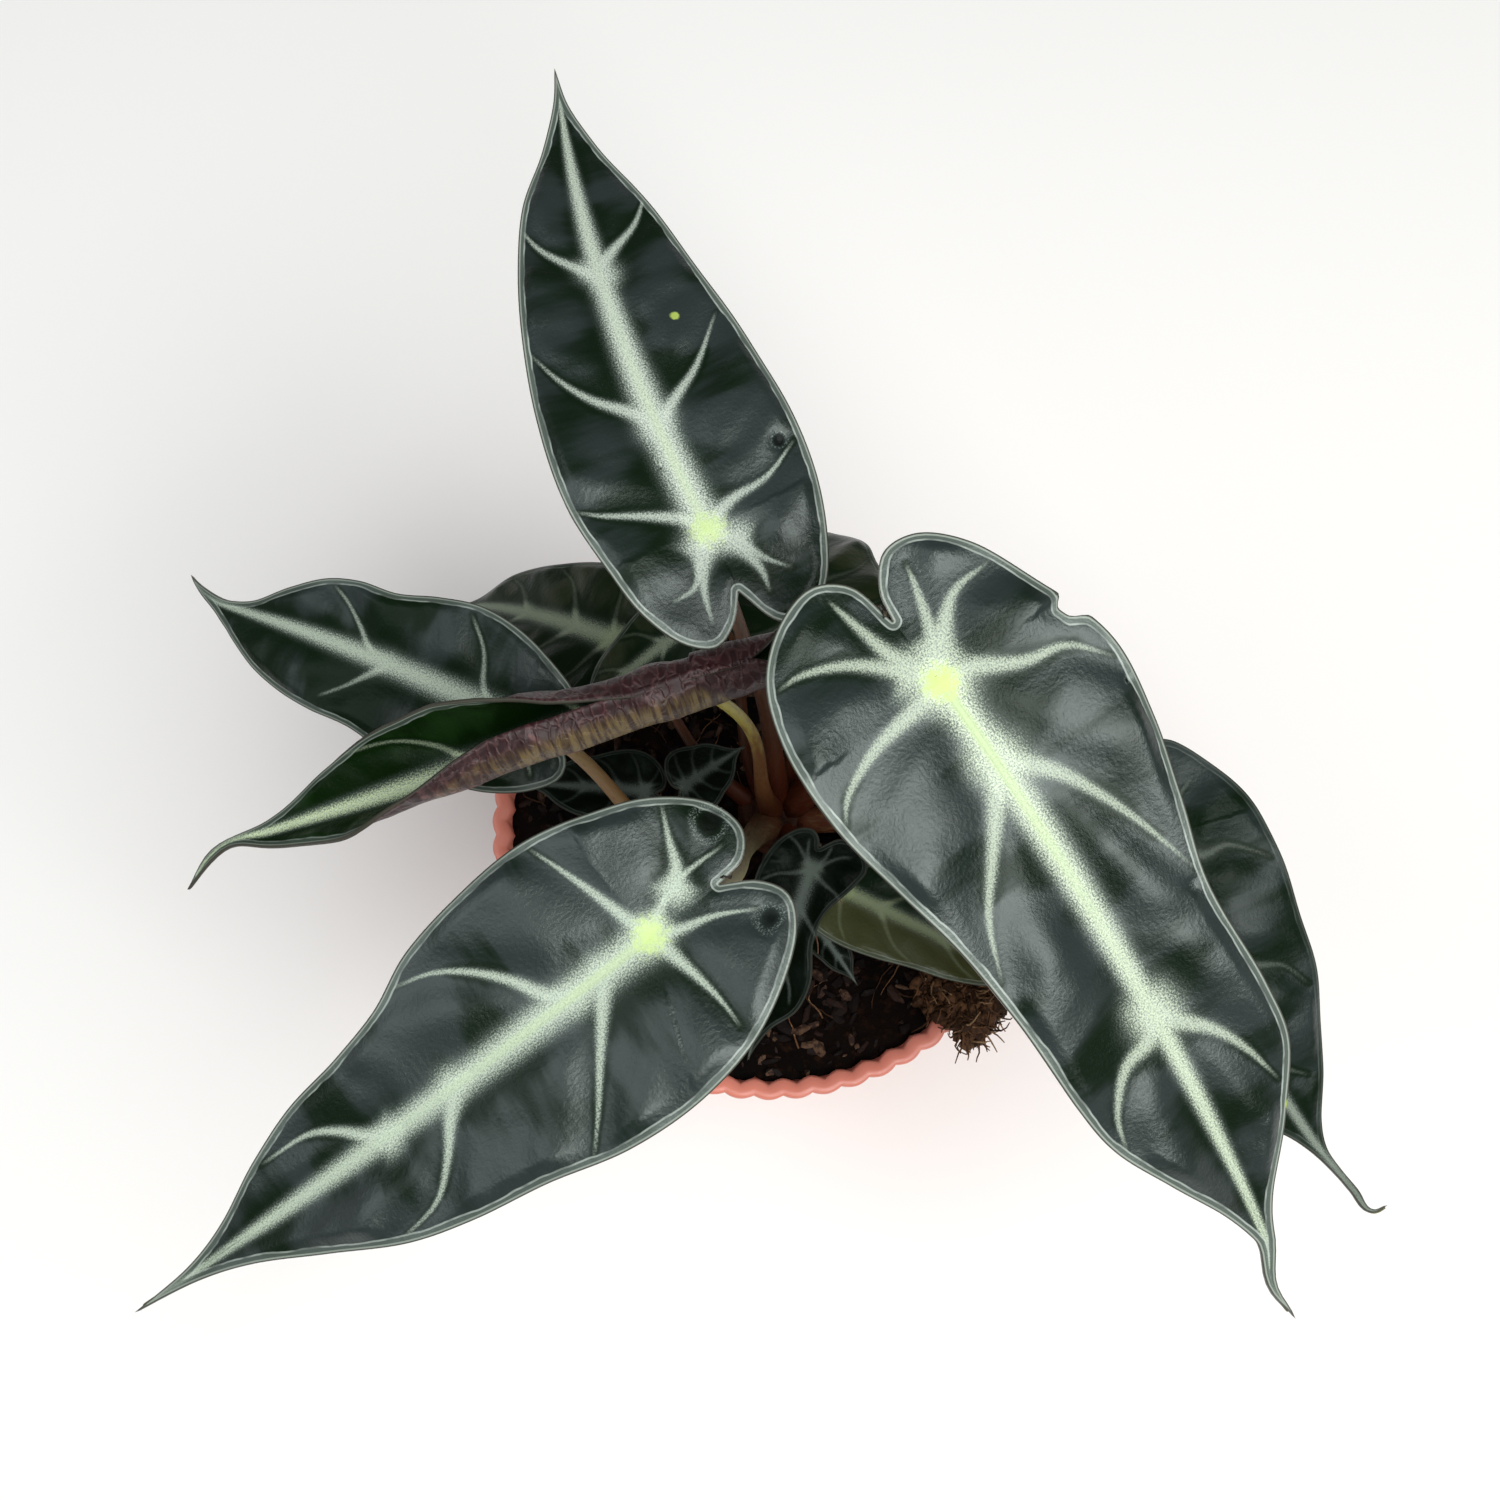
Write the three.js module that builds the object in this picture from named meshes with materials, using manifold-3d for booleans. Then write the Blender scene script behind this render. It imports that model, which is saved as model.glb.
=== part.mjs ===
// Potted arrow-leaf house plant: a fluted plastic pot, its soil and a clump of fourteen leaves.
// Millimetres, +Z up. The origin is the middle of the pot's underside, and -Y faces the viewer.

import * as THREE from 'three';
import { mergeVertices } from 'three/addons/utils/BufferGeometryUtils.js';
import Module from 'manifold-3d';

const wasm = await Module();
wasm.setup();

const DEG = Math.PI / 180;

// Clearance between pieces that touch
const GAP = 0.3;

// Pot
const POT_HEIGHT = 100;
const BASE_RADIUS = 43;
const RIM_RADIUS = 60;
const RIM_WIDTH = 3.3;
const RIM_THICKNESS = 1.2;
const WALL = 1.3;
const WALL_TOP = 95.5;
const FLOOR = 2;
const FOOT_CHAMFER = 1.5;
const FLUTES = 60;
const FLUTE_DEPTH = 0.5;
const DRAIN_HOLES = 6;
const DRAIN_RADIUS = 3.5;
const DRAIN_CIRCLE = 29;

// Soil: its height at the wall and over the middle, and how far in it rises to that
const SOIL_EDGE = 97;
const SOIL_TOP = 97.5;
const SOIL_ROUND = 1.5;
const SOIL_SHOULDER = 8;

// Tuft of moss: where it lies round the rim, and its centre line as distance from the axis and height
const TUFT_ANGLE = -43;
const TUFT_WIDTH = 15;
const TUFT_THICKNESS = 3;
const TUFT_LINE = [[46, 99.3], [51, 100.6], [56, 102.4], [60.5, 102.2], [63.6, 99], [63.8, 94]];

// Blades: half their thickness, how far the lobes dip behind the junction, and how far the side veins
// lean forward
const BLADE_HALF_THICKNESS = 0.6;
const LOBE_DIP = 10;
const VEIN_LEAN = 0.35;

// Petioles: how much narrower they are at the blade, and how far their two ends keep their direction
const PETIOLE_TAPER = 0.75;
const PETIOLE_FOOT = 0.38;
const PETIOLE_NECK = 0.34;
const PETIOLE_REACH = 0.45;

// Fineness of the faceted shapes
const MIDRIB_STEPS = 60;
const PETIOLE_STEPS = 10;
const PETIOLE_SIDES = 8;
const LARGE_BLADE = { rows: 20, columns: 12 };
const SMALL_BLADE = { rows: 14, columns: 10 };
const LARGE_LENGTH = 80;

// Growing points that carry the leaves: where each dome is centred, and its radius
const CROWNS = {
  main: { at: [2, 1, 99], radius: 8.5 },
  left: { at: [-16, -13, 98], radius: 6 },
  front: { at: [20, -9, 98], radius: 6 },
};

// One side of a plain leaf from tip to notch: share of the length along the midrib from the junction,
// and share of the half width across it. Behind the junction the first number is negative.
const PLAIN_SIDE = [
  [1, 0], [0.88, 0.06], [0.77, 0.21], [0.64, 0.5], [0.52, 0.68], [0.38, 0.79], [0.24, 0.93],
  [0.1, 1], [-0.02, 0.93], [-0.11, 0.74], [-0.17, 0.46], [-0.18, 0.22], [-0.15, 0.06], [-0.11, 0],
];

// Leaves. at: the junction, where the petiole meets the blade. heading: the midrib's direction seen from
// above, from +X towards +Y, and swing: how much it turns on the way to the tip. hook and sway bend the
// drawn-out tip past hookFrom. pitch: its slope at the junction, and droop: what the tip adds. fold and
// curl raise or lower the two halves, and rolls gives [share of the length, curl of the left half, curl
// of the right half] where they differ. rise: azimuth and elevation in which the petiole leaves its
// crown. left and right: the sides as [along, across] from tip to notch, seen from the petiole.
const LEAVES = {
  back: {
    at: [-11, 26, 205], heading: 116, swing: -20, hook: 4, pitch: -2, droop: -18,
    length: 110, half: 22, fold: 5, curl: -6, crown: 'main', rise: [95, 70], stalk: 1.6,
    left: [
      [110, 0], [98, 1.5], [86, 4.9], [73, 10.2], [60, 13.7], [45, 16.6], [30, 18.9], [14, 20],
      [2, 18.6], [-9, 16.4], [-16.5, 12], [-19, 7.3], [-16.5, 3], [-12, 0],
    ],
    right: [
      [110, 0], [98, 1.5], [86, 5.2], [73, 10.5], [60, 14.5], [45, 18], [30, 20.7], [16, 21.9],
      [2, 21], [-9, 18], [-17, 14], [-21, 9], [-19.5, 4], [-12, 0],
    ],
  },
  right: {
    at: [25, -8, 228], heading: -53, swing: -6, hook: -3, hookFrom: 0.83, sway: -21, pitch: -14,
    droop: -28, length: 130, half: 26, fold: 8, curl: -10, crown: 'main', rise: [24, 60], stalk: 1.9,
    left: [
      [130, 0], [119, 1], [110, 1.6], [102, 4], [90, 11.7], [79, 17.4], [68, 18.2], [48, 18.1],
      [35, 21.3], [23, 24.6], [10, 25.9], [-3, 22], [-15, 17.1], [-21, 11], [-21.5, 5.4], [-17, 1.2],
      [-12, 0],
    ],
    right: [
      [130, 0], [119, 0.9], [110, 1.6], [101, 4.8], [89, 11], [78, 16.3], [68, 18.3], [49, 19.6],
      [35, 21.4], [22, 24.2], [8, 26.6], [-5, 26], [-16, 21.5], [-22, 14], [-23.5, 7], [-20, 1.8],
      [-12, 0],
    ],
  },
  front: {
    at: [-20, -42, 200], heading: -143, swing: -9, pitch: -12, droop: -22,
    length: 120, half: 26, fold: 6, curl: -8, crown: 'main', rise: [-125, 58], stalk: 1.8, reach: 0.9,
    left: [
      [120, 0], [104, 1.4], [90, 4.7], [76, 10.4], [61, 16.8], [50, 19.6], [36, 21.9], [22, 25.3],
      [9, 26], [-3, 24], [-13, 19], [-20, 13], [-22, 8], [-19.5, 3.4], [-14, 0],
    ],
    right: [
      [120, 0], [104, 1.4], [92, 4.6], [80, 9.8], [69, 13.7], [56, 15.6], [46, 18], [36, 22.6],
      [22, 24.8], [8, 25.3], [-4, 22.2], [-14, 18], [-21, 11.5], [-22.5, 5], [-19.5, 1], [-14, 0],
    ],
  },
  left: {
    at: [-47, 3, 168], heading: 153, swing: 5, hook: -40, hookFrom: 0.8, pitch: -2, droop: -26,
    roll: -18, length: 81, half: 18, crown: 'left', rise: [150, 60], stalk: 1.6,
    left: [
      [81, 0], [75, 0.6], [69, 2], [62, 6.2], [55, 10.1], [48, 12.4], [40, 13.5], [31, 13.8],
      [22, 15.4], [10, 16], [0, 14.4], [-8, 10.5], [-12, 6], [-11.5, 2.4], [-8, 0],
    ],
    right: [
      [81, 0], [74, 0.9], [66, 1.2], [60, 2.6], [52, 7.3], [45, 11], [38, 12.6], [30, 12.9],
      [22, 15.2], [14, 16.7], [6, 15.8], [-2, 12.8], [-8, 9.5], [-12, 5.5], [-11.5, 2.2], [-8, 0],
    ],
  },
  young: {
    at: [-12, 2, 191], heading: 198.5, swing: -7, hook: 50, hookFrom: 0.79, sway: -24, pitch: -4,
    droop: -16, roll: 10, length: 101, half: 13, fold: 0, foldTip: 12,
    rolls: [
      [0, 164, 166], [0.11, 162, 164], [0.25, 160, 132], [0.36, 152, 98], [0.44, 126, 84],
      [0.5, 108, 78], [0.6, 84, 64], [0.72, 48, 44], [1, 40, 40],
    ],
    crown: 'main', rise: [185, 80], stalk: 1.4,
    left: [
      [101, 0], [94, 0.8], [87, 1.4], [77, 4.4], [66, 8.4], [56, 11.8], [47, 13], [38, 13.8],
      [24, 13.8], [8, 12.6], [-3, 11], [-9, 6.5], [-10, 3], [-8, 0],
    ],
    right: [
      [101, 0], [94, 0.6], [87, 0.8], [79, 2.6], [68, 7.4], [56, 11.6], [44, 14.6], [32, 15.6],
      [20, 15.8], [8, 15.8], [-3, 15.4], [-9, 11], [-10, 4], [-8, 0],
    ],
  },
  outer: {
    at: [70, -19, 170], heading: -73, swing: 41, hook: 71, hookFrom: 0.84, sway: -35, pitch: -12,
    droop: -32, length: 97, half: 19, curl: -10, crown: 'main', rise: [-15, 36], stalk: 1.6,
    left: [
      [97, 0], [84, 1.4], [76, 1], [70, 1.4], [64, 3.6], [55, 9.4], [46, 13.9], [36, 17.5], [25, 19],
      [10, 19.5], [-2, 17.5], [-10, 12.8], [-16.5, 7], [-17, 3.5], [-14, 1], [-10, 0],
    ],
    right: [
      [97, 0], [85, 0.6], [77, 0.8], [68, 1.8], [61, 3.8], [52, 9], [40, 14.6], [25, 18.2],
      [8, 19], [-4, 17], [-13, 12.5], [-17, 7], [-16.5, 3], [-10, 0],
    ],
  },
  rear_left: {
    at: [-32, 29, 138], heading: 150, pitch: -30, droop: -30, length: 63, half: 16,
    crown: 'main', rise: [155, 28], stalk: 1.2,
  },
  rear_inner: {
    at: [-15, 24, 161], heading: 206, pitch: -30, droop: -30, length: 40, half: 9,
    crown: 'main', rise: [125, 42], stalk: 1.2,
  },
  rear_right: {
    at: [6, 27, 157], heading: 84, pitch: -20, droop: -60, length: 50, half: 17,
    crown: 'main', rise: [72, 36], stalk: 1.4,
  },
  low_right: {
    at: [15, -17, 110], heading: -27, pitch: 6, droop: -16, length: 54, half: 11,
    crown: 'front', rise: [-60, 62], stalk: 1.2,
  },
  low_front: {
    at: [8, -19, 138], heading: 250, pitch: -20, droop: -26, length: 44, half: 10,
    crown: 'main', rise: [-68, 48], stalk: 1.2,
    left: [
      [44, 0], [39, 1], [34, 2.7], [28, 6.4], [21, 7.1], [13, 5], [7, 5.4], [0, 9], [-4, 10.3],
      [-7.5, 7.5], [-8, 3.5], [-5, 0],
    ],
  },
  low_middle: {
    at: [-17, 1.5, 126], heading: 35, pitch: 2, droop: -12, length: 15, half: 7.5,
    crown: 'left', rise: [80, 66], stalk: 1.1,
  },
  low_left: {
    at: [-27, 5, 106], heading: 176, pitch: 6, droop: -16, length: 28, half: 9,
    crown: 'left', rise: [195, 40], stalk: 1.1,
  },
  sprout: {
    at: [11, -25, 103], heading: -55, pitch: 4, droop: -20, length: 14, half: 4.5,
    fold: 14, curl: 4, crown: 'front', rise: [-95, 32], stalk: 0.8,
  },
};

// Papery sheath scales that stand beside the main crown, and one side of their outline from tip to foot
const SHEATH_SIDE = [[1, 0], [0.7, 0.55], [0.35, 0.95], [0.1, 1], [0.02, 0.6], [0, 0]];
const SHEATH_BLADE = { rows: 8, columns: 8 };
const SHEATHS = {
  rear: { at: [9.3, 8.5, 98.2], heading: 46, pitch: 80, droop: -6, length: 24, half: 2.5, curl: 35 },
  side: { at: [-7.9, -3.3, 98.2], heading: 204, pitch: 78, droop: -8, length: 16, half: 3.4, curl: 40 },
};

// Materials: finish of each kind of piece
const FINISH = {
  pot: { color: 0xdc8c82, roughness: 0.45 },
  soil: { color: 0x2a1a10, roughness: 0.95 },
  fibre: { color: 0x5a4028, roughness: 0.95 },
  stem: { color: 0x8a6a48, roughness: 0.6 },
  blade: { color: 0x2f3d38, roughness: 0.35 },
  young: { color: 0x4a2c30, roughness: 0.4 },
  petiole: { color: 0xa38f62, roughness: 0.45 },
  sheath: { color: 0x7a3424, roughness: 0.7 },
};

const plant = new THREE.Group();

function addPiece(name, geometry, finish, at = [0, 0, 0]) {
  const material = new THREE.MeshStandardMaterial({ ...FINISH[finish], metalness: 0 });
  const mesh = new THREE.Mesh(geometry, material);
  mesh.name = name;
  mesh.position.set(...at);
  plant.add(mesh);
  return mesh;
}

// Solids for cutting

function toSolid(geometry) {
  const bare = geometry.index ? geometry.toNonIndexed() : geometry.clone();
  bare.deleteAttribute('normal');
  bare.deleteAttribute('uv');
  const merged = mergeVertices(bare, 1e-4);
  const mesh = new wasm.Mesh({
    numProp: 3,
    vertProperties: new Float32Array(merged.attributes.position.array),
    triVerts: new Uint32Array(merged.index.array),
  });
  return new wasm.Manifold(mesh);
}

function toGeometry(solid) {
  const mesh = solid.getMesh();
  const geometry = new THREE.BufferGeometry();
  geometry.setAttribute('position', new THREE.BufferAttribute(mesh.vertProperties, 3));
  geometry.setIndex(new THREE.BufferAttribute(mesh.triVerts, 1));
  geometry.computeVertexNormals();
  return geometry;
}

// Pot

function lathe(profile, sides) {
  const points = profile.map(([radius, height]) => new THREE.Vector2(radius, height));
  return new THREE.LatheGeometry(points, sides).rotateX(Math.PI / 2);
}

// The flutes run up the whole wall, from nothing at the foot to their full depth at the rim
function flute(geometry) {
  const position = geometry.attributes.position;
  for (let i = 0; i < position.count; i += 1) {
    const x = position.getX(i);
    const y = position.getY(i);
    const radius = Math.hypot(x, y);
    const fade = THREE.MathUtils.smoothstep(position.getZ(i), FLOOR, POT_HEIGHT / 2);
    const wave = FLUTE_DEPTH * fade * Math.cos(FLUTES * Math.atan2(y, x));
    const scale = radius > BASE_RADIUS / 2 ? (radius + wave) / radius : 1;
    position.setX(i, x * scale);
    position.setY(i, y * scale);
  }
  return geometry;
}

function makePot() {
  const wallOuter = RIM_RADIUS - RIM_WIDTH;
  const wallInner = wallOuter - WALL;
  const shell = flute(lathe([
    [0, 0],
    [BASE_RADIUS - FOOT_CHAMFER, 0],
    [BASE_RADIUS, FOOT_CHAMFER],
    [wallOuter, WALL_TOP],
    [RIM_RADIUS, POT_HEIGHT - RIM_THICKNESS],
    [RIM_RADIUS, POT_HEIGHT],
    [wallOuter, POT_HEIGHT - RIM_THICKNESS],
    [wallInner, WALL_TOP - WALL],
    [BASE_RADIUS - WALL, FLOOR],
    [0, FLOOR],
  ], 2 * FLUTES));
  let pot = toSolid(shell);
  for (let i = 0; i < DRAIN_HOLES; i += 1) {
    const angle = (i / DRAIN_HOLES) * 2 * Math.PI;
    const hole = new THREE.CylinderGeometry(DRAIN_RADIUS, DRAIN_RADIUS, 3 * FLOOR, 12);
    hole.rotateX(Math.PI / 2);
    hole.translate(DRAIN_CIRCLE * Math.cos(angle), DRAIN_CIRCLE * Math.sin(angle), FLOOR / 2);
    pot = pot.subtract(toSolid(hole));
  }
  addPiece('pot', toGeometry(pot), 'pot');
}

function makeSoil() {
  const edge = RIM_RADIUS - RIM_WIDTH - WALL - FLUTE_DEPTH - GAP;
  const foot = edge - (RIM_RADIUS - RIM_WIDTH - BASE_RADIUS);
  const body = lathe([
    [0, FLOOR + GAP],
    [foot, FLOOR + GAP],
    [edge, SOIL_EDGE - SOIL_ROUND],
    [edge - SOIL_ROUND, SOIL_EDGE],
    [edge - SOIL_SHOULDER, SOIL_TOP],
    [0, SOIL_TOP],
  ], 36);
  addPiece('soil', body, 'soil');
}

// A clump of moss and root fibre that spills from the soil over the rim
function makeTuft() {
  const direction = new THREE.Vector3(Math.cos(TUFT_ANGLE * DEG), Math.sin(TUFT_ANGLE * DEG), 0);
  const points = TUFT_LINE.map(([radius, height]) => (
    direction.clone().multiplyScalar(radius).setZ(height)
  ));
  const path = new THREE.CatmullRomCurve3(points);
  const across = direction.clone().cross(new THREE.Vector3(0, 0, 1));
  const tuft = new THREE.SphereGeometry(1, 10, 8);
  const position = tuft.attributes.position;
  const centre = new THREE.Vector3();
  const tangent = new THREE.Vector3();
  const normal = new THREE.Vector3();
  for (let i = 0; i < position.count; i += 1) {
    const along = Math.acos(THREE.MathUtils.clamp(position.getY(i), -1, 1)) / Math.PI;
    path.getPoint(1 - along, centre);
    path.getTangent(1 - along, tangent);
    normal.crossVectors(across, tangent).normalize();
    centre.addScaledVector(across, (position.getX(i) * TUFT_WIDTH) / 2);
    centre.addScaledVector(normal, (position.getZ(i) * TUFT_THICKNESS) / 2);
    position.setXYZ(i, centre.x, centre.y, centre.z);
  }
  tuft.computeVertexNormals();
  addPiece('moss_tuft', tuft, 'fibre');
}

function makeCrown(name, { at, radius }) {
  const foot = SOIL_TOP + GAP - at[2];
  const footRadius = Math.sqrt(radius ** 2 - foot ** 2);
  const profile = [[0, foot], [footRadius, foot]];
  for (let angle = 0; angle < 85; angle += 18) {
    profile.push([radius * Math.cos(angle * DEG), radius * Math.sin(angle * DEG)]);
  }
  profile.push([0, radius]);
  addPiece(`crown_${name}`, lathe(profile, 16), 'stem', at);
}

// Leaf shape

function fillIn(leaf) {
  const full = {
    swing: 0, hook: 0, hookFrom: 0.85, sway: 0, droop: 0, roll: 0, fold: 6, curl: -8, ...leaf,
  };
  const side = PLAIN_SIDE.map(([along, across]) => [along * leaf.length, across * leaf.half]);
  const rolls = [[0, full.curl, full.curl], [1, full.curl, full.curl]];
  return { left: side, right: side, foldTip: full.fold, rolls, ...full };
}

// The midrib from junction to tip, as steps that hold a point and the blade's own three directions
function traceMidrib(leaf) {
  const steps = [];
  const point = new THREE.Vector3(...leaf.at);
  for (let i = 0; i <= MIDRIB_STEPS; i += 1) {
    const share = i / MIDRIB_STEPS;
    const tail = Math.max(0, (share - leaf.hookFrom) / (1 - leaf.hookFrom));
    const turn = leaf.swing * share + leaf.hook * tail + leaf.sway * Math.sin(2 * Math.PI * tail);
    const heading = (leaf.heading + turn) * DEG;
    const pitch = (leaf.pitch + leaf.droop * share) * DEG;
    const forward = new THREE.Vector3(
      Math.cos(heading) * Math.cos(pitch),
      Math.sin(heading) * Math.cos(pitch),
      Math.sin(pitch),
    );
    const level = new THREE.Vector3(-Math.sin(heading), Math.cos(heading), 0);
    const left = level.clone().applyAxisAngle(forward, leaf.roll * DEG);
    const up = forward.clone().cross(left);
    steps.push({ point: point.clone(), forward, left, up });
    point.addScaledVector(forward, leaf.length / MIDRIB_STEPS);
  }
  return steps;
}

function alongMidrib(leaf, midrib, along) {
  const place = THREE.MathUtils.clamp(along / leaf.length, 0, 1) * MIDRIB_STEPS;
  const low = Math.min(Math.floor(place), MIDRIB_STEPS - 1);
  const mix = (key) => midrib[low][key].clone().lerp(midrib[low + 1][key], place - low);
  const step = { point: mix('point'), forward: mix('forward'), left: mix('left'), up: mix('up') };
  if (along < 0) {
    step.point.addScaledVector(step.forward, along * Math.cos(LOBE_DIP * DEG));
    step.point.addScaledVector(step.up, along * Math.sin(LOBE_DIP * DEG));
  }
  return step;
}

// The curl of one half at a share of the length
function curlAt(leaf, share, isLeft) {
  const next = leaf.rolls.findIndex(([place], i) => i > 0 && place >= share);
  const [from, left, right] = leaf.rolls[next - 1];
  const [to, nextLeft, nextRight] = leaf.rolls[next];
  const mix = (share - from) / (to - from);
  return isLeft
    ? THREE.MathUtils.lerp(left, nextLeft, mix)
    : THREE.MathUtils.lerp(right, nextRight, mix);
}

// From flat leaf coordinates to space: along the midrib, across it to the left, and off the surface
function bendBlade(leaf, midrib, along, across, off) {
  const step = alongMidrib(leaf, midrib, along);
  const share = THREE.MathUtils.clamp(along / leaf.length, 0, 1);
  const fold = THREE.MathUtils.lerp(leaf.fold, leaf.foldTip, share) * DEG;
  const curl = (curlAt(leaf, share, across >= 0) * DEG) / leaf.half;
  const side = across < 0 ? -1 : 1;
  const lean = fold + curl * Math.abs(across);
  const outward = (Math.sin(lean) - Math.sin(fold)) / curl;
  const upward = (Math.cos(fold) - Math.cos(lean)) / curl;
  return step.point
    .addScaledVector(step.left, side * (outward - off * Math.sin(lean)))
    .addScaledVector(step.up, upward + off * Math.cos(lean));
}

// The margin on one side at even steps, as [along, across] from tip to notch
function traceMargin(side, rows) {
  const points = side.map(([along, across]) => new THREE.Vector3(along, across, 0));
  const curve = new THREE.CatmullRomCurve3(points, false, 'centripetal');
  return curve.getSpacedPoints(rows);
}

// Where on the midrib each row starts: ahead of the junction a row leans forward as the side veins do,
// and behind it the rows fan out between the junction and the notch
function traceAnchors(left, right, notch) {
  const rows = left.length - 1;
  const start = left.map((point, i) => {
    const along = (point.x + right[i].x) / 2;
    return along - (VEIN_LEAN * (point.y + right[i].y)) / 2;
  });
  const turn = start.findIndex((along) => along <= 0);
  const fan = Math.max(rows - turn, 1);
  return start.map((along, i) => (i < turn ? along : (notch * (i - turn)) / fan));
}

// A blade is a sphere drawn out into a lens: its poles are the tip and the notch
function makeBlade(name, leaf, { rows, columns }, finish) {
  const midrib = traceMidrib(leaf);
  const left = traceMargin(leaf.left, rows);
  const right = traceMargin(leaf.right, rows);
  const anchors = traceAnchors(left, right, leaf.left.at(-1)[0]);
  const blade = new THREE.SphereGeometry(1, columns, rows);
  const position = blade.attributes.position;
  for (let i = 0; i < position.count; i += 1) {
    const angle = Math.acos(THREE.MathUtils.clamp(position.getY(i), -1, 1));
    const row = Math.round((angle / Math.PI) * rows);
    const pole = row === 0 || row === rows;
    const width = pole ? 0 : THREE.MathUtils.clamp(-position.getX(i) / Math.sin(angle), -1, 1);
    const margin = width < 0 ? right[row] : left[row];
    const along = THREE.MathUtils.lerp(anchors[row], margin.x, Math.abs(width));
    const off = pole ? 0 : BLADE_HALF_THICKNESS * position.getZ(i);
    const point = bendBlade(leaf, midrib, along, margin.y * width, off);
    position.setXYZ(i, point.x, point.y, point.z);
  }
  blade.computeVertexNormals();
  addPiece(name, blade, finish);
}

// A petiole rises from its crown and bends under the blade, a gap short of both
function makePetiole(name, leaf) {
  const crown = CROWNS[leaf.crown];
  const [azimuth, elevation] = leaf.rise.map((angle) => angle * DEG);
  const outward = new THREE.Vector3(
    Math.cos(azimuth) * Math.cos(elevation),
    Math.sin(azimuth) * Math.cos(elevation),
    Math.sin(elevation),
  );
  const start = new THREE.Vector3(...crown.at).addScaledVector(outward, crown.radius + GAP);
  const { point, forward, up } = traceMidrib(leaf)[0];
  const arrive = up.clone().addScaledVector(forward, leaf.reach ?? PETIOLE_REACH).normalize();
  const tilt = Math.sqrt(1 - arrive.dot(up) ** 2);
  const below = BLADE_HALF_THICKNESS + GAP + leaf.stalk * PETIOLE_TAPER * tilt;
  const end = point.clone().addScaledVector(up, -below);
  const span = start.distanceTo(end);
  const path = new THREE.CubicBezierCurve3(
    start,
    start.clone().addScaledVector(outward, PETIOLE_FOOT * span),
    end.clone().addScaledVector(arrive, -PETIOLE_NECK * span),
    end,
  );
  const section = new THREE.Shape().absarc(0, 0, leaf.stalk, 0, 2 * Math.PI);
  const stalk = new THREE.ExtrudeGeometry(section, {
    steps: PETIOLE_STEPS,
    curveSegments: PETIOLE_SIDES / 2,
    bevelEnabled: false,
    extrudePath: path,
  });
  taper(stalk, path);
  addPiece(name, stalk, 'petiole');
}

function taper(stalk, path) {
  const position = stalk.attributes.position;
  const centres = path.getSpacedPoints(PETIOLE_STEPS);
  const point = new THREE.Vector3();
  for (let i = 0; i < position.count; i += 1) {
    point.fromBufferAttribute(position, i);
    const gaps = centres.map((centre) => centre.distanceTo(point));
    const nearest = gaps.indexOf(Math.min(...gaps));
    const scale = THREE.MathUtils.lerp(1, PETIOLE_TAPER, nearest / PETIOLE_STEPS);
    point.lerpVectors(centres[nearest], point, scale);
    position.setXYZ(i, point.x, point.y, point.z);
  }
  stalk.computeVertexNormals();
}

makePot();
makeSoil();
makeTuft();
Object.entries(CROWNS).forEach(([name, crown]) => makeCrown(name, crown));

Object.entries(LEAVES).forEach(([name, values]) => {
  const leaf = fillIn(values);
  const finish = name === 'young' ? 'young' : 'blade';
  makeBlade(`blade_${name}`, leaf, leaf.length > LARGE_LENGTH ? LARGE_BLADE : SMALL_BLADE, finish);
  makePetiole(`petiole_${name}`, leaf);
});

Object.entries(SHEATHS).forEach(([name, values]) => {
  const scale = fillIn({ ...values, fold: 0 });
  scale.left = SHEATH_SIDE.map(([along, across]) => [along * scale.length, across * scale.half]);
  scale.right = scale.left;
  makeBlade(`sheath_${name}`, scale, SHEATH_BLADE, 'sheath');
});

export default plant;
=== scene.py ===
# Potted arrow-leaf plant: fluted nursery pot, soil, and fourteen leaves that rise from three crowns.
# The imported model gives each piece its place. Tables are in millimetres, and MM makes metres of them.

import random
from math import cos, pi, radians, sin, tau

import bmesh
import bpy
import numpy as np
from mathutils import Matrix, Vector, noise


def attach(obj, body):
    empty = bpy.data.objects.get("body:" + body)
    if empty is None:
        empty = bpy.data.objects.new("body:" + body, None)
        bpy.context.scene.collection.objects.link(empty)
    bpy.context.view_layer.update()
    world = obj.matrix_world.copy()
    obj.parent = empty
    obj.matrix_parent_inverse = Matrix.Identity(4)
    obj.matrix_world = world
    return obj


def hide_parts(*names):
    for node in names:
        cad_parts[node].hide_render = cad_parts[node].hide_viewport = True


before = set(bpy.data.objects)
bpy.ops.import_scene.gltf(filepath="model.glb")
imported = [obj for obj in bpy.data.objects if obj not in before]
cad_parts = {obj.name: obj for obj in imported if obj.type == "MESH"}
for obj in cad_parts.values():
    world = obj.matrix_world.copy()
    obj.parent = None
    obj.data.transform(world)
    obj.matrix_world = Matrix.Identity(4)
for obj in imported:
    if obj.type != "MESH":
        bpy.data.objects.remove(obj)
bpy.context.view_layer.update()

MM = 0.001
BODY = "root"

# Leaves as drawn flat and then bent, in the same values as the solid blades. Each is placed by the
# junction of its blade and petiole. Angles are in degrees: heading and pitch at the junction, swing and
# droop along the leaf, hook and sway in the tail past hook_from, roll about the midrib, and fold and
# curl across it. Outlines run from tip to notch, and their points and those of the veins are lengths
# along the midrib and off it. A mark has a place, a size and a tone: a spot above 0, a pit below.
PLAIN_SIDE = [
    (1, 0), (0.88, 0.06), (0.77, 0.21), (0.64, 0.5), (0.52, 0.68), (0.38, 0.79), (0.24, 0.93),
    (0.1, 1), (-0.02, 0.93), (-0.11, 0.74), (-0.17, 0.46), (-0.18, 0.22), (-0.15, 0.06), (-0.11, 0),
]
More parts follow.
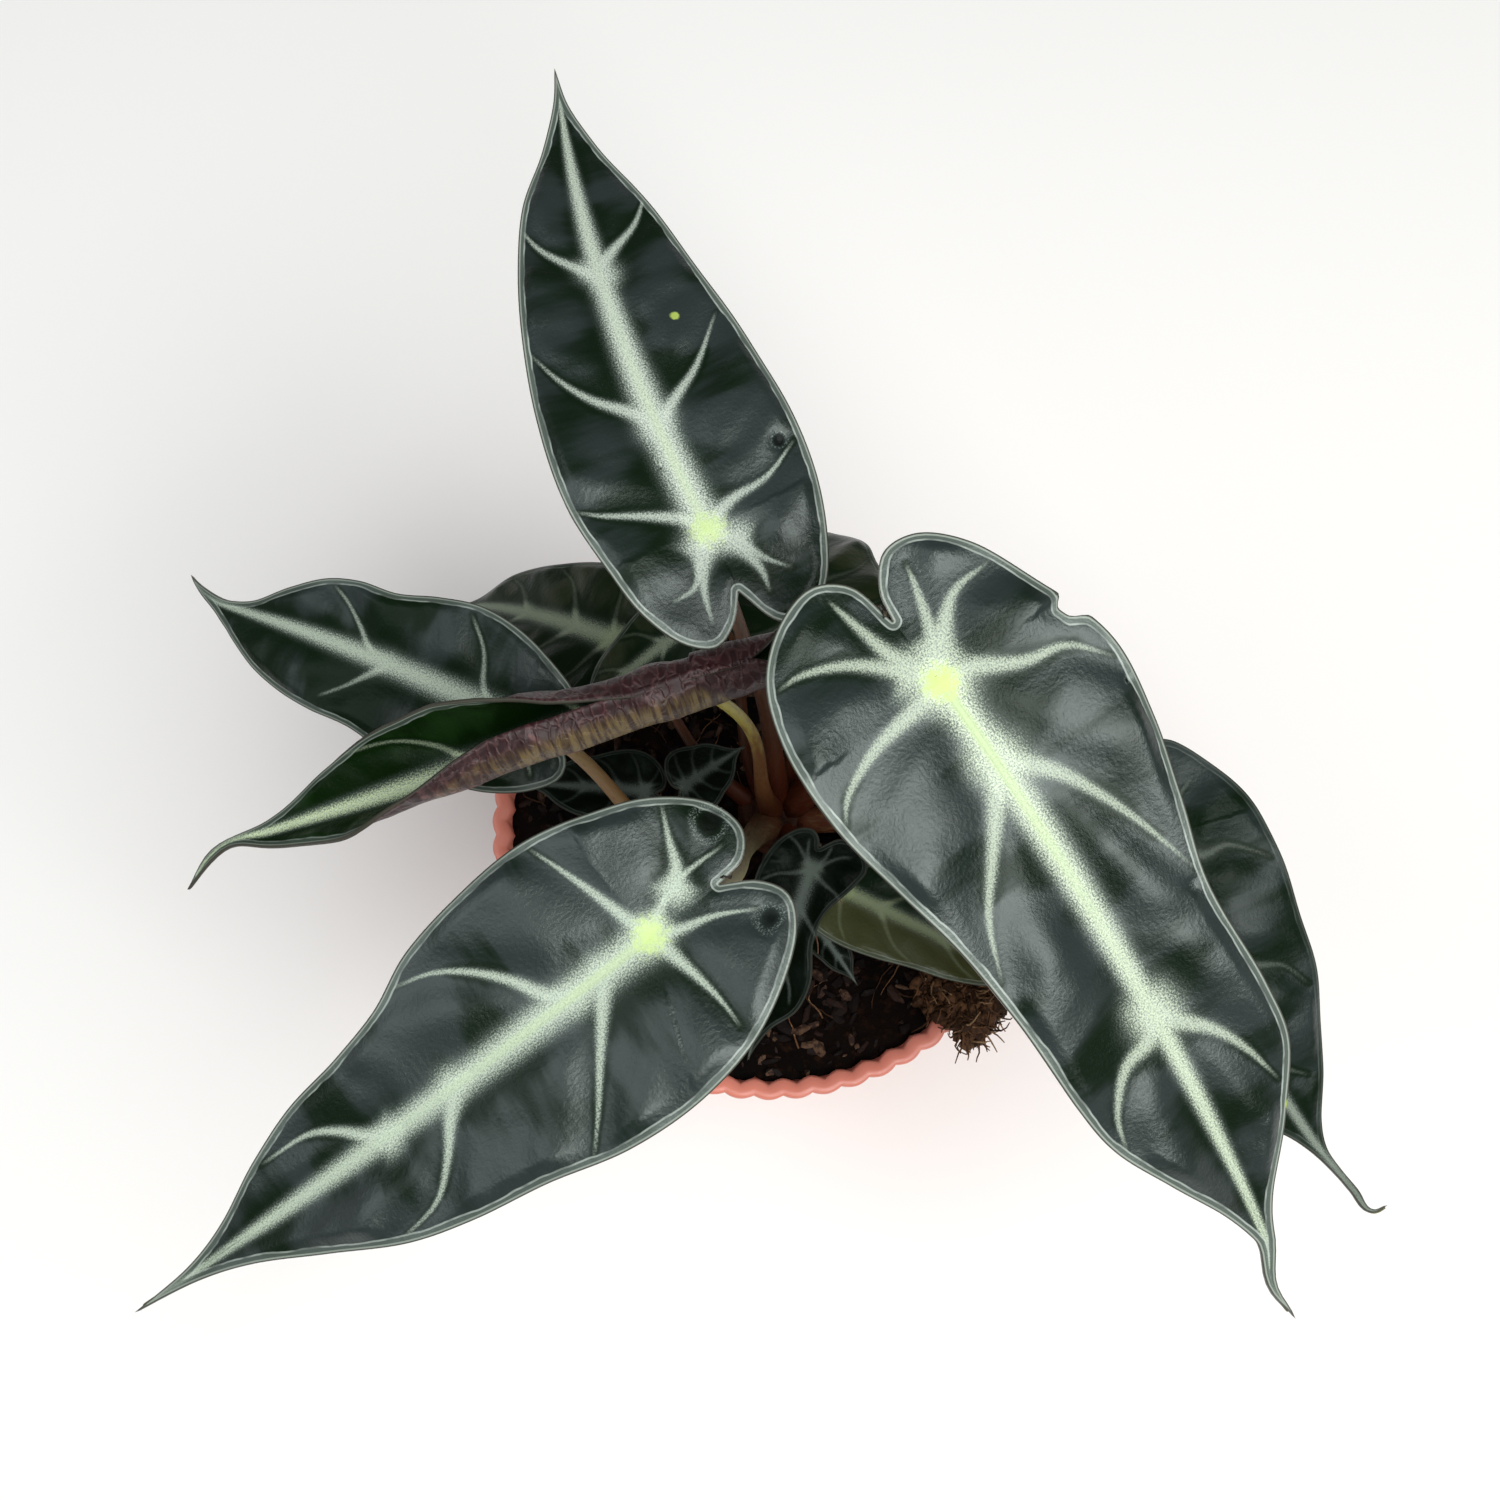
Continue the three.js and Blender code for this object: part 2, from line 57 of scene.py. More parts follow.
# Side veins of a plain leaf as shares of its length and half width, the last two in the lobe
PLAIN_VEINS = [
    [(-0.01, 0), (0.03, 0.3), (0.06, 0.62), (0.12, 0.92)],
    [(0.17, 0), (0.22, 0.27), (0.29, 0.56), (0.39, 0.72)],
    [(0.44, 0), (0.48, 0.16), (0.55, 0.35), (0.63, 0.45)],
    [(0, 0), (-0.05, 0.2), (-0.1, 0.45), (-0.12, 0.68)],
    [(-0.03, 0.12), (-0.09, 0.2), (-0.14, 0.24)],
]
LEAVES = {
    "back": {
        "at": (-11, 26, 205), "heading": 116, "swing": -20, "hook": 4, "pitch": -2, "droop": -18,
        "length": 110, "half": 22, "fold": 5, "curl": -6, "crown": "main", "rise": (95, 70),
        "stalk": 1.6, "skin": "petiole_brown", "upper": "upper_back", "bold": 1.2, "pale": (1, 0.85),
        "marks": [(40, -10, 0.85, 1), (9.5, -17.6, 1.5, -1), (13.6, 2.5, 0.5, -1)],
        "left": [
            (110, 0), (98, 1.5), (86, 4.9), (73, 10.2), (60, 13.7), (45, 16.6), (30, 18.9), (14, 20),
            (2, 18.6), (-9, 16.4), (-16.5, 12), (-19, 7.3), (-16.5, 3), (-12, 0),
        ],
        "right": [
            (110, 0), (98, 1.5), (86, 5.2), (73, 10.5), (60, 14.5), (45, 18), (30, 20.7),
            (16, 21.9), (2, 21), (-9, 18), (-17, 14), (-21, 9), (-19.5, 4), (-12, 0),
        ],
        "left_veins": [
            [(54, 0), (57, 3.5), (62.5, 8.8), (68.5, 11.8)],
            [(22, 0), (25.5, 3.6), (29.5, 8.5), (34.7, 12.5), (42, 16.2)],
            [(1, 0), (3.4, 3), (6.5, 9), (9.2, 15), (11.5, 18.8)],
            [(0, 0), (-4.1, 3.4), (-8.3, 6.2), (-9.2, 11)],
            [(-3, 2.4), (-9.5, 5.2), (-15.2, 6.3)],
        ],
        "right_veins": [
            [(56, 0), (59, 3.4), (63.7, 8.7), (70, 11.9)],
            [(21, 0), (24.5, 4), (29.3, 10), (38.9, 17)],
            [(0, 0), (2.8, 5.3), (4, 12.8), (8.4, 20)],
            [(0, 0), (-4.5, 4), (-8.8, 6.6), (-12, 9.8)],
            [(-4, 3.6), (-10.5, 5.1), (-14.1, 4.8)],
        ],
    },
    "right": {
        "at": (25, -8, 228), "heading": -53, "swing": -6, "hook": -3, "hook_from": 0.83,
        "sway": -21, "pitch": -14, "droop": -28, "length": 130, "half": 26, "fold": 8,
        "curl": -10, "crown": "main", "rise": (24, 60), "stalk": 1.9, "skin": "petiole_pink",
        "nick": (2.2, 2, 2.3), "bold": 1.4, "midrib": 0.82, "pale": (1, 0.8),
        "marks": [(48, 15.5, 1.1, -0.46), (89, 12.6, 0.8, 0.8), (16, 24, 0.6, -1)],
        "left": [
            (130, 0), (119, 1), (110, 1.6), (102, 4), (90, 11.7), (79, 17.4), (68, 18.2),
            (48, 18.1), (35, 21.3), (23, 24.6), (10, 25.9), (-3, 22), (-15, 17.1), (-21, 11),
            (-21.5, 5.4), (-17, 1.2), (-12, 0),
        ],
        "right": [
            (130, 0), (119, 0.9), (110, 1.6), (101, 4.8), (89, 11), (78, 16.3), (68, 18.3),
            (49, 19.6), (35, 21.4), (22, 24.2), (8, 26.6), (-5, 26), (-16, 21.5), (-22, 14),
            (-23.5, 7), (-20, 1.8), (-12, 0),
        ],
        "left_veins": [
            [(0, 0), (0.5, 4.4), (4.7, 12.2), (6.5, 19.2), (12, 24.3)],
            [(14, 0), (17, 3), (21.7, 7.2), (32.3, 12.5), (46, 17.2)],
            [(62, 0), (65, 2.4), (69.6, 6.9), (75.4, 10.2), (84, 13)],
            [(0, 0), (-6.1, 3.1), (-13.6, 5.8), (-18, 7)],
            [(-4, 2.4), (-7.1, 6), (-10.2, 10.2), (-10.8, 17.6)],
        ],
        "right_veins": [
            [(0, 0), (0.8, 4.5), (2.3, 15), (5.8, 22.6), (9, 25)],
            [(15, 0), (19.4, 3.4), (26.8, 9.7), (33.9, 15.1), (43, 18.3)],
            [(62, 0), (65.2, 2.2), (66.7, 8.3), (72.6, 13.2), (79, 14.6)],
            [(0, 0), (-5.1, 4), (-10.6, 10.2), (-13.5, 17.2), (-13.6, 21)],
            [(-4, 2.6), (-8, 3.8), (-16.5, 5.5), (-20.4, 6.2)],
        ],
    },
    "front": {
        "at": (-20, -42, 200), "heading": -143, "swing": -9, "pitch": -12, "droop": -22,
        "length": 120, "half": 26, "fold": 6, "curl": -8, "crown": "main", "rise": (-125, 58),
        "stalk": 1.8, "reach": 0.9, "skin": "petiole_olive", "upper": "upper_front", "midrib": 0.92,
        "marks": [(-19, -9, 3.3, -1), (-17.5, 9.5, 2.6, -0.8)],
        "left": [
            (120, 0), (104, 1.4), (90, 4.7), (76, 10.4), (61, 16.8), (50, 19.6), (36, 21.9),
            (22, 25.3), (9, 26), (-3, 24), (-13, 19), (-20, 13), (-22, 8), (-19.5, 3.4), (-14, 0),
        ],
        "right": [
            (120, 0), (104, 1.4), (92, 4.6), (80, 9.8), (69, 13.7), (56, 15.6), (46, 18),
            (36, 22.6), (22, 24.8), (8, 25.3), (-4, 22.2), (-14, 18), (-21, 11.5), (-22.5, 5),
            (-19.5, 1), (-14, 0),
        ],
        "left_veins": [
            [(0, 0), (-1.2, 5), (-2.4, 10.6), (-3.1, 15.9), (-3.1, 20.5)],
            [(10, 0), (13.2, 4.7), (18.4, 11.5), (23.4, 18.1), (27.5, 23)],
            [(41, 0), (44.8, 4.3), (48.1, 8.8), (53.7, 13.8), (62, 15.5)],
            [(0, 0), (-4.2, 2), (-10.2, 3.7), (-16.5, 7)],
        ],
        "right_veins": [
            [(0, 0), (1.2, 4), (3.4, 12), (5.7, 18.9), (7.5, 23.6)],
            [(16, 0), (19.2, 2.3), (22.6, 7.9), (28, 13.7), (34, 17.5), (41, 19.3)],
            [(56, 0), (58.9, 1.8), (62.9, 5.4), (68.3, 8), (79, 8.5)],
            [(0, 0), (-4, 2.6), (-10.1, 4.6), (-18.3, 4.7)],
            [(-8, 4), (-10.1, 6.4), (-11.9, 10.7), (-14.4, 16)],
        ],
    },
    "left": {
        "at": (-47, 3, 168), "heading": 153, "swing": 5, "hook": -40, "hook_from": 0.8,
        "pitch": -2, "droop": -26, "roll": -18, "length": 81, "half": 18, "crown": "left",
        "rise": (150, 60), "stalk": 1.6, "pale": (0.85, 0.6), "upper": "upper_side", "bold": 0.85,
        "left": [
            (81, 0), (75, 0.6), (69, 2), (62, 6.2), (55, 10.1), (48, 12.4), (40, 13.5),
            (31, 13.8), (22, 15.4), (10, 16), (0, 14.4), (-8, 10.5), (-12, 6), (-11.5, 2.4), (-8, 0),
        ],
        "right": [
            (81, 0), (74, 0.9), (66, 1.2), (60, 2.6), (52, 7.3), (45, 11), (38, 12.6), (30, 12.9),
            (22, 15.2), (14, 16.7), (6, 15.8), (-2, 12.8), (-8, 9.5), (-12, 5.5), (-11.5, 2.2),
            (-8, 0),
        ],
        "left_veins": [
            [(27, 0), (30.8, 3.8), (34.2, 7), (39, 10.6)],
            [(2, 0), (5, 5), (9, 10), (14, 13.6)],
            [(0, 0), (-4, 4), (-7, 8)],
        ],
        "right_veins": [
            [(28, 0), (32.3, 1.6), (35, 4.5), (39.2, 8.1), (43, 10.2)],
            [(4, 0), (7.7, 2.8), (10.4, 9.3), (15, 14.6)],
            [(0, 0), (-4, 4), (-7, 8)],
        ],
    },
    "young": {
        "at": (-12, 2, 191), "heading": 198.5, "swing": -7, "hook": 38, "hook_from": 0.79,
        "sway": -14, "pitch": -4, "droop": -16, "roll": 10, "length": 101, "half": 13,
        "fold": 0, "fold_tip": 12, "crown": "main", "rise": (185, 80), "stalk": 1.4,
        "pale": (1, 0.3), "upper": "upper_young", "lower": "lower_young", "skin": "petiole_young",
        "ribs": "rib_young", "midrib": 1.8,
        "rolls": [
            (0, 164, 166), (0.11, 162, 164), (0.25, 160, 132), (0.36, 152, 98), (0.44, 126, 84),
            (0.5, 108, 78), (0.6, 84, 64), (0.72, 48, 44), (1, 40, 40),
        ],
        "left": [
            (101, 0), (94, 0.8), (87, 1.4), (77, 4.4), (66, 8.4), (56, 11.8), (47, 13),
            (38, 13.8), (24, 13.8), (8, 13.8), (-3, 14), (-10, 13.2), (-16, 9.5), (-18, 4),
            (-15, 1.5), (-8, 0),
        ],
        "right": [
            (101, 0), (94, 0.6), (87, 0.8), (79, 2.6), (68, 7.4), (56, 11.6), (44, 14.6),
            (32, 15.6), (20, 15.8), (8, 15.8), (-3, 16), (-10, 15), (-16.5, 10), (-18.5, 4.5),
            (-15, 1.5), (-8, 0),
        ],
        "left_veins": [
            [(0, 0), (6, 6), (9, 12)], [(18, 0), (24, 6), (29, 12)], [(36, 0), (42, 6), (49, 11)],
        ],
        "right_veins": [
            [(0, 0), (6, 6), (9, 13)], [(18, 0), (24, 7), (29, 13.5)],
            [(40, 0), (43.5, 2.5), (47, 5.5), (54, 8.8), (64, 9)],
        ],
    },
    "outer": {
        "at": (70, -19, 170), "heading": -73, "swing": 41, "hook": 46, "hook_from": 0.84,
        "sway": -20, "pitch": -12, "droop": -32, "length": 97, "half": 19, "curl": -10,
        "crown": "main", "rise": (-15, 36), "stalk": 1.6, "pale": (0.6, 0.16), "midrib": 0.7,
        "upper": "upper_outer",
        "left": [
            (97, 0), (84, 0.7), (76, 0.8), (70, 1.3), (64, 3.6), (55, 9.4), (46, 13.9), (36, 17.5),
            (25, 19), (10, 19.5), (-2, 17.5), (-10, 12.8), (-16.5, 7), (-17, 3.5), (-14, 1),
            (-10, 0),
        ],
        "right": [
            (97, 0), (85, 0.5), (77, 0.7), (68, 1.6), (61, 3.8), (52, 9), (40, 14.6), (25, 18.2),
            (8, 19), (-4, 17), (-13, 12.5), (-17, 7), (-16.5, 3), (-10, 0),
        ],
        "left_veins": [
            [(1, 0), (5.5, 5.7), (5.1, 10.5), (8.2, 15.2), (10.5, 17.6)],
            [(24, 0), (29.2, 7.9), (31.7, 12), (38, 14.8)],
            [(47, 0), (50, 3), (54, 6.2)],
            [(0, 0), (-5, 4), (-9, 9)],
            [(0, 0), (-7, 2.6), (-12, 4)],
        ],
    },
    "rear_left": {
        "at": (-32, 29, 138), "heading": 150, "pitch": -30, "droop": -30, "length": 63,
        "half": 16, "crown": "main", "rise": (155, 28), "stalk": 1.2, "pale": (0.6, 0.12),
        "upper": "upper_rear", "skin": "petiole_brown",
    },
    "rear_inner": {
        "at": (-15, 24, 161), "heading": 206, "pitch": -30, "droop": -30, "length": 40,
        "half": 9, "crown": "main", "rise": (125, 42), "stalk": 1.2, "pale": (0.5, 0.12),
        "upper": "upper_rear", "skin": "petiole_brown",
    },
    "rear_right": {
        "at": (6, 27, 157), "heading": 84, "pitch": -20, "droop": -60, "length": 50,
        "half": 17, "crown": "main", "rise": (72, 36), "stalk": 1.4, "pale": (0.3, 0.08),
        "upper": "upper_rear", "skin": "petiole_brown",
    },
    "low_right": {
        "at": (15, -17, 110), "heading": -27, "pitch": 6, "droop": -16, "length": 54,
        "half": 11, "crown": "front", "rise": (-60, 62), "stalk": 1.2, "pale": (0.8, 0.25),
        "upper": "upper_olive",
    },
    "low_front": {
        "at": (8, -19, 138), "heading": 250, "pitch": -20, "droop": -26, "length": 44,
        "half": 10, "crown": "main", "rise": (-68, 48), "stalk": 1.2, "pale": (0.35, 0.2),
        "upper": "upper_low", "skin": "petiole_brown",
        "left": [
            (44, 0), (39, 1), (34, 2.7), (28, 6.4), (21, 7.1), (13, 5), (7, 5.4), (0, 9),
            (-4, 10.3), (-7.5, 7.5), (-8, 3.5), (-5, 0),
        ],
    },
    "low_middle": {
        "at": (-17, 1.5, 126), "heading": 35, "pitch": 2, "droop": -12, "length": 15,
        "half": 7.5, "crown": "left", "rise": (80, 66), "stalk": 1.1, "pale": (0.2, 0.08),
        "upper": "upper_low", "skin": "petiole_brown",
    },
    "low_left": {
        "at": (-27, 5, 106), "heading": 176, "pitch": 6, "droop": -16, "length": 28,
        "half": 9, "crown": "left", "rise": (195, 40), "stalk": 1.1, "pale": (0.25, 0.08),
        "upper": "upper_low", "skin": "petiole_brown",
    },
    "sprout": {
        "at": (11, -25, 103), "heading": -55, "pitch": 4, "droop": -20, "length": 14,
        "half": 4.5, "fold": 14, "curl": 4, "crown": "front", "rise": (-95, 32), "stalk": 0.8,
        "pale": (0.4, 0.1), "upper": "upper_low",
    },
}
CROWNS = {
    "main": {"at": (2, 1, 99), "radius": 8.5},
    "left": {"at": (-16, -13, 98), "radius": 6},
    "front": {"at": (20, -9, 98), "radius": 6},
}
LOBE_DIP = radians(10)
VEIN_LEAN = 0.35
MIDRIB_STEPS = 60
BLADE_THICKNESS, SMALL_THICKNESS, SMALL_HALF = 0.7, 0.42, 12
LONG_SPACING, SHORT_SPACING, SHORT_LENGTH = 0.55, 0.45, 60


# Materials

class Finish:
    """A material in the making: each method adds a node and gives back what comes out of it."""

    def __init__(self, name, pattern=None, **constants):
        self.material = bpy.data.materials.new(name)
        self.material.use_nodes = True
        self.tree = self.material.node_tree
        self.shader = self.tree.nodes["Principled BSDF"]
        for key, value in constants.items():
            self.shader.inputs[key.replace("_", " ")].default_value = value
        if pattern == "flat":
            self.where = self.read("flat", "Vector")
        elif pattern == "object":
            self.where = self.add("TexCoord").outputs["Object"]

    def add(self, kind, inputs=(), **settings):
        made = self.tree.nodes.new("ShaderNode" + kind)
        for key, value in settings.items():
            setattr(made, key, value)
        for key, value in dict(inputs).items():
            if isinstance(value, bpy.types.NodeSocket):
                self.tree.links.new(value, made.inputs[key])
            else:
                made.inputs[key].default_value = value
        return made

    def read(self, name, output="Fac"):
        return self.add("Attribute", attribute_name=name).outputs[output]

    def plus(self, first, second):
        return self.add("Math", {0: first, 1: second}, operation="ADD").outputs[0]

    def times(self, first, second):
        return self.add("Math", {0: first, 1: second}, operation="MULTIPLY").outputs[0]

    def step(self, value, low, high, to_low=0.0, to_high=1.0):
        """A soft step from to_low, where the value is low, to to_high."""
        inputs = {"Value": value, "From Min": low, "From Max": high, "To Min": to_low, "To Max": to_high}
        return self.add("MapRange", inputs, interpolation_type="SMOOTHSTEP").outputs["Result"]

    def line_at(self, value, place, reach, strength=1.0):
        """Full strength where the value is at the place, and nothing past its reach."""
        gap = self.add("Math", {0: value, 1: place}, operation="SUBTRACT").outputs[0]
        gap = self.add("Math", {0: gap}, operation="ABSOLUTE").outputs[0]
        return self.step(gap, 0.35 * reach, reach, strength, 0)

    def grain(self, scale, detail=3.0, rough=0.55, stretch=(1, 1, 1)):
        """Cloudy noise from 0 to 1, drawn out along an axis whose stretch is small."""
        moved = self.add("Mapping", {"Vector": self.where, "Scale": stretch}).outputs["Vector"]
        inputs = {"Vector": moved, "Scale": scale, "Detail": detail, "Roughness": rough}
        return self.add("TexNoise", inputs).outputs["Fac"]

    def paint(self, amount, under, over):
        under, over = (
            tone if isinstance(tone, bpy.types.NodeSocket) else (*tone, 1) for tone in (under, over)
        )
        return self.add("Mix", {0: amount, 6: under, 7: over}, data_type="RGBA").outputs[2]

    def bump(self, height, distance, strength, below=None):
        inputs = {"Height": height, "Distance": distance, "Strength": strength}
        if below:
            inputs["Normal"] = below
        return self.add("Bump", inputs).outputs["Normal"]

    def wear(self, **sockets):
        """Puts what was made on the shader, and gives the finished material."""
        for key, socket in sockets.items():
            self.tree.links.new(socket, self.shader.inputs[key.replace("_", " ")])
        return self.material


# Leaf finishes: lengths and the attributes they read are in millimetres on the flat leaf

# The slate grey is painted sheen, the grey-blue reflection of the lamps painted into the leaf colour; the
# green-black is the leaf's own.
GREEN_BLACK, SHEEN_SLATE = (0.004, 0.01, 0.004), (0.018, 0.026, 0.025)
PALE_VEIN, FROST = (0.63, 0.73, 0.56), (0.27, 0.33, 0.3)
MIDRIB_GREEN, GROOVE_GREEN, JUNCTION_LIME = (0.5, 0.64, 0.33), (0.3, 0.43, 0.18), (0.55, 0.73, 0.25)
MARGIN_BAND, DRY_EDGE = (0.09, 0.115, 0.1), (0.05, 0.045, 0.035)
INNER_LINE, OUTER_LINE = (0.4, 0.46, 0.42), (0.32, 0.36, 0.31)
# The black of the pits is painted shade.
YELLOW_MARK, PIT_SHADE, OLIVE_TINT = (0.34, 0.44, 0.09), (0.003, 0.004, 0.003), (0.06, 0.066, 0.024)
MARGIN_WIDTH, OUTER_INSET = 1.25, 0.36
SHEEN_RANGE = 0.26


def ground_with_painted_sheen(leaf, vein, deep, sheen_slate, sheen_patches, olive_side):
    """Painted sheen on a deep ground: clouds of slate-grey reflection, painted shade beside the veins and
    flecks of frost. Gives its colour, where the sheen is painted, and its clouds.
    """
    cloud = leaf.grain(0.055, 1, stretch=(1.4, 0.7, 1))
    streak = leaf.grain(0.3, 2, stretch=(1.4, 0.3, 1))
    # Painted sheen: where these clouds and streaks pass the threshold, the leaf is painted slate grey.
    sheen_bloom = leaf.plus(cloud, leaf.step(streak, 0.25, 0.75, -0.045, 0.045))
    # Painted shade: darker just beside the veins, lighter out in the fields.
    sheen_bloom = leaf.plus(sheen_bloom, leaf.step(vein, -3, -0.3, 0.03, -0.09))
    bright = leaf.step(sheen_bloom, sheen_patches, sheen_patches + SHEEN_RANGE)
    colour = leaf.paint(bright, deep, sheen_slate)
    if olive_side:
        aside = leaf.add("SeparateXYZ", {0: leaf.where}).outputs[1]
        colour = leaf.paint(leaf.step(aside, -1.2, 0.6, 0.9, 0), colour, OLIVE_TINT)
    fleck = leaf.grain(5, 2, 0.8)
    return leaf.paint(leaf.step(fleck, 0.68, 0.8, 0, 0.4), colour, FROST), bright, cloud


def frosted_veins(leaf, colour, vein, pale, speck, veins):
    """Speckled frost over the veins with a thin halo beside them: the colour and the frost."""
    frayed = leaf.plus(vein, leaf.step(speck, 0.3, 0.7, -0.5, 0.4))
    halo = leaf.times(leaf.step(frayed, -1.3, 0.2, 0, 0.28), pale)
    core = leaf.times(leaf.step(frayed, -0.45, 0.8), pale)
    tone = leaf.paint(leaf.step(speck, 0.36, 0.58), FROST, veins)
    return leaf.paint(core, leaf.paint(halo, colour, FROST), tone), core


def green_middle(leaf, colour, pale, lime):
    """Green on the midrib with a fine groove, and a lime spot over the stalk."""
    across, away = leaf.read("across"), leaf.read("away")
    near = leaf.times(leaf.step(away, 4, 60, 0.8 * lime**2, 0.12 * lime), pale)
    near = leaf.times(near, pale)
    centre = leaf.times(leaf.step(across, 0.2, 1.5, 1, 0), near)
    colour = leaf.paint(centre, colour, MIDRIB_GREEN)
    groove = leaf.times(leaf.line_at(across, 0.45, 0.22, 0.4), near)
    colour = leaf.paint(groove, colour, GROOVE_GREEN)
    uneven = leaf.plus(away, leaf.step(leaf.grain(0.8, 3, 0.7), 0.3, 0.7, -1.1, 1.1))
    spot = leaf.times(leaf.step(uneven, 0.8, 4.2, lime, 0), pale)
    return leaf.paint(spot, colour, JUNCTION_LIME)


def pale_margin(leaf, colour, margin):
    """A double pale line round the leaf, the inner one broken, and a dry outer edge."""
    edge = leaf.read("edge")
    inset = leaf.plus(edge, leaf.step(leaf.grain(0.15, 2), 0.3, 0.7, -0.15, 0.15))
    broken = leaf.step(leaf.grain(0.2, 2), 0.35, 0.6, 0.25, 0.75)
    band = leaf.step(inset, MARGIN_WIDTH - 0.3, MARGIN_WIDTH, 0.85 * margin, 0)
    colour = leaf.paint(band, colour, MARGIN_BAND)
    inner = leaf.times(leaf.line_at(inset, MARGIN_WIDTH, 0.22, margin), broken)
    colour = leaf.paint(inner, colour, INNER_LINE)
    colour = leaf.paint(leaf.line_at(edge, OUTER_INSET, 0.2, 0.8 * margin), colour, OUTER_LINE)
    return leaf.paint(leaf.step(edge, 0.08, 0.22, 0.85, 0), colour, DRY_EDGE)


def yellow_spots_and_shaded_pits(leaf, colour, mark, speck):
    """A yellow spot where the mark is high; where it is low, a pit painted black as painted shade, with
    specks of painted highlight on its rim.
    """
    colour = leaf.paint(leaf.step(mark, 0.3, 0.6), colour, YELLOW_MARK)
    # Painted highlight: pale specks round the rim of each pit.
    rim = leaf.times(leaf.line_at(mark, -0.42, 0.2, 0.5), leaf.step(speck, 0.5, 0.62))
    colour = leaf.paint(rim, colour, FROST)
    # Painted shade: black in the pit.
    return leaf.paint(leaf.step(mark, -0.85, -0.45, 0.85, 0), colour, PIT_SHADE)


def upper_finish(
    name, deep=GREEN_BLACK, sheen_slate=SHEEN_SLATE, veins=PALE_VEIN, margin=1, shine=1, lime=1, sheen_patches=0.32,
    olive_side=False,
):
    """Dark satin upper side with painted sheen patches: frosted speckled veins, a lime junction, a double
    pale margin and pits in painted shade.
    """
    leaf = Finish(name, "flat", Specular_Tint=(0.9, 1, 0.97, 1))
    vein, pale, mark = (leaf.read(key) for key in ("vein", "pale", "mark"))
    speck = leaf.grain(3.3, 3, 0.75)
    colour, bright, cloud = ground_with_painted_sheen(leaf, vein, deep, sheen_slate, sheen_patches, olive_side)
    colour, core = frosted_veins(leaf, colour, vein, pale, speck, veins)
    colour = green_middle(leaf, colour, pale, lime)
    colour = pale_margin(leaf, colour, margin)
    colour = yellow_spots_and_shaded_pits(leaf, colour, mark, speck)
    gloss = leaf.step(bright, 0, 1, 0.2 * shine, 0.53 * shine)
    gloss = leaf.times(gloss, leaf.step(mark, -0.6, -0.3, 0.15, 1))
    roughness = leaf.step(cloud, 0.3, 0.7, 0.27, 0.35)
    roughness = leaf.plus(roughness, leaf.step(core, 0.1, 0.9, 0, 0.25))
    normal = leaf.bump(leaf.grain(1.3, 4, 0.6), 0.0003, 0.4)
    normal = leaf.bump(leaf.grain(8, 2), 0.00006, 0.4, normal)
    return leaf.wear(Base_Color=colour, Roughness=roughness, Normal=normal, Specular_IOR_Level=gloss)


def cell_net(leaf):
    """Distance to the walls of the bent cells between the veins of an underside."""
    longer = leaf.add("Mapping", {"Vector": leaf.where, "Scale": (1, 0.55, 1)}).outputs[0]
    warp = leaf.add("TexNoise", {"Vector": leaf.where, "Scale": 0.5}).outputs[1]
    cells = {"Vector": leaf.add("VectorMath", {0: longer, 1: warp}).outputs[0], "Scale": 0.6}
    return leaf.add("TexVoronoi", cells, feature="DISTANCE_TO_EDGE").outputs["Distance"]


def lower_finish(name, ground, veins, near, share, spread=3.8, olive_side=False):
    """Matt underside: raised paler veins, a soft net, and stripes that leave the midrib."""
    leaf = Finish(name, "flat", Specular_IOR_Level=0.35)
    vein, across, net, cloud = leaf.read("vein"), leaf.read("across"), cell_net(leaf), leaf.grain(0.16, 3)
    dark = tuple(0.5 * part for part in ground)
    colour = leaf.paint(leaf.step(cloud, 0.35, 0.68), ground, dark)
    colour = leaf.paint(leaf.step(net, 0.0, 0.17, 0.3 * share, 0), colour, veins)
    colour = leaf.paint(leaf.step(vein, -0.9, 0.5, 0, 0.75 * share), colour, veins)
    colour = leaf.paint(leaf.step(across, 0.3 * spread, spread, 0.85, 0), colour, near)
    if olive_side:
        place = leaf.add("SeparateXYZ", {0: leaf.where})
        along = leaf.plus(place.outputs[0], leaf.step(cloud, 0.3, 0.7, -9, 9))
        olive = leaf.times(leaf.step(place.outputs[1], -1.5, 1.5, 0, 0.85), leaf.step(along, 28, 48, 1, 0))
        olive = leaf.times(olive, leaf.step(across, 9, 11.6, 1, 0))
        colour = leaf.paint(olive, colour, near)
    stripes = leaf.step(leaf.grain(0.95, 3, stretch=(1, 0.1, 1)), 0.42, 0.6)
    stripes = leaf.times(stripes, leaf.step(across, 1, 4, 0.1, 0.85))
    stripes = leaf.times(stripes, leaf.step(across, 2 * spread, 4 * spread, share, 0.15))
    colour = leaf.paint(stripes, colour, dark)
    normal = leaf.bump(leaf.step(net, 0, 0.2, 1, 0), 0.0003, 0.5)
    normal = leaf.bump(leaf.grain(6, 3), 0.0001, 0.4, normal)
    return leaf.wear(Base_Color=colour, Roughness=leaf.step(cloud, 0.3, 0.7, 0.4, 0.55), Normal=normal)


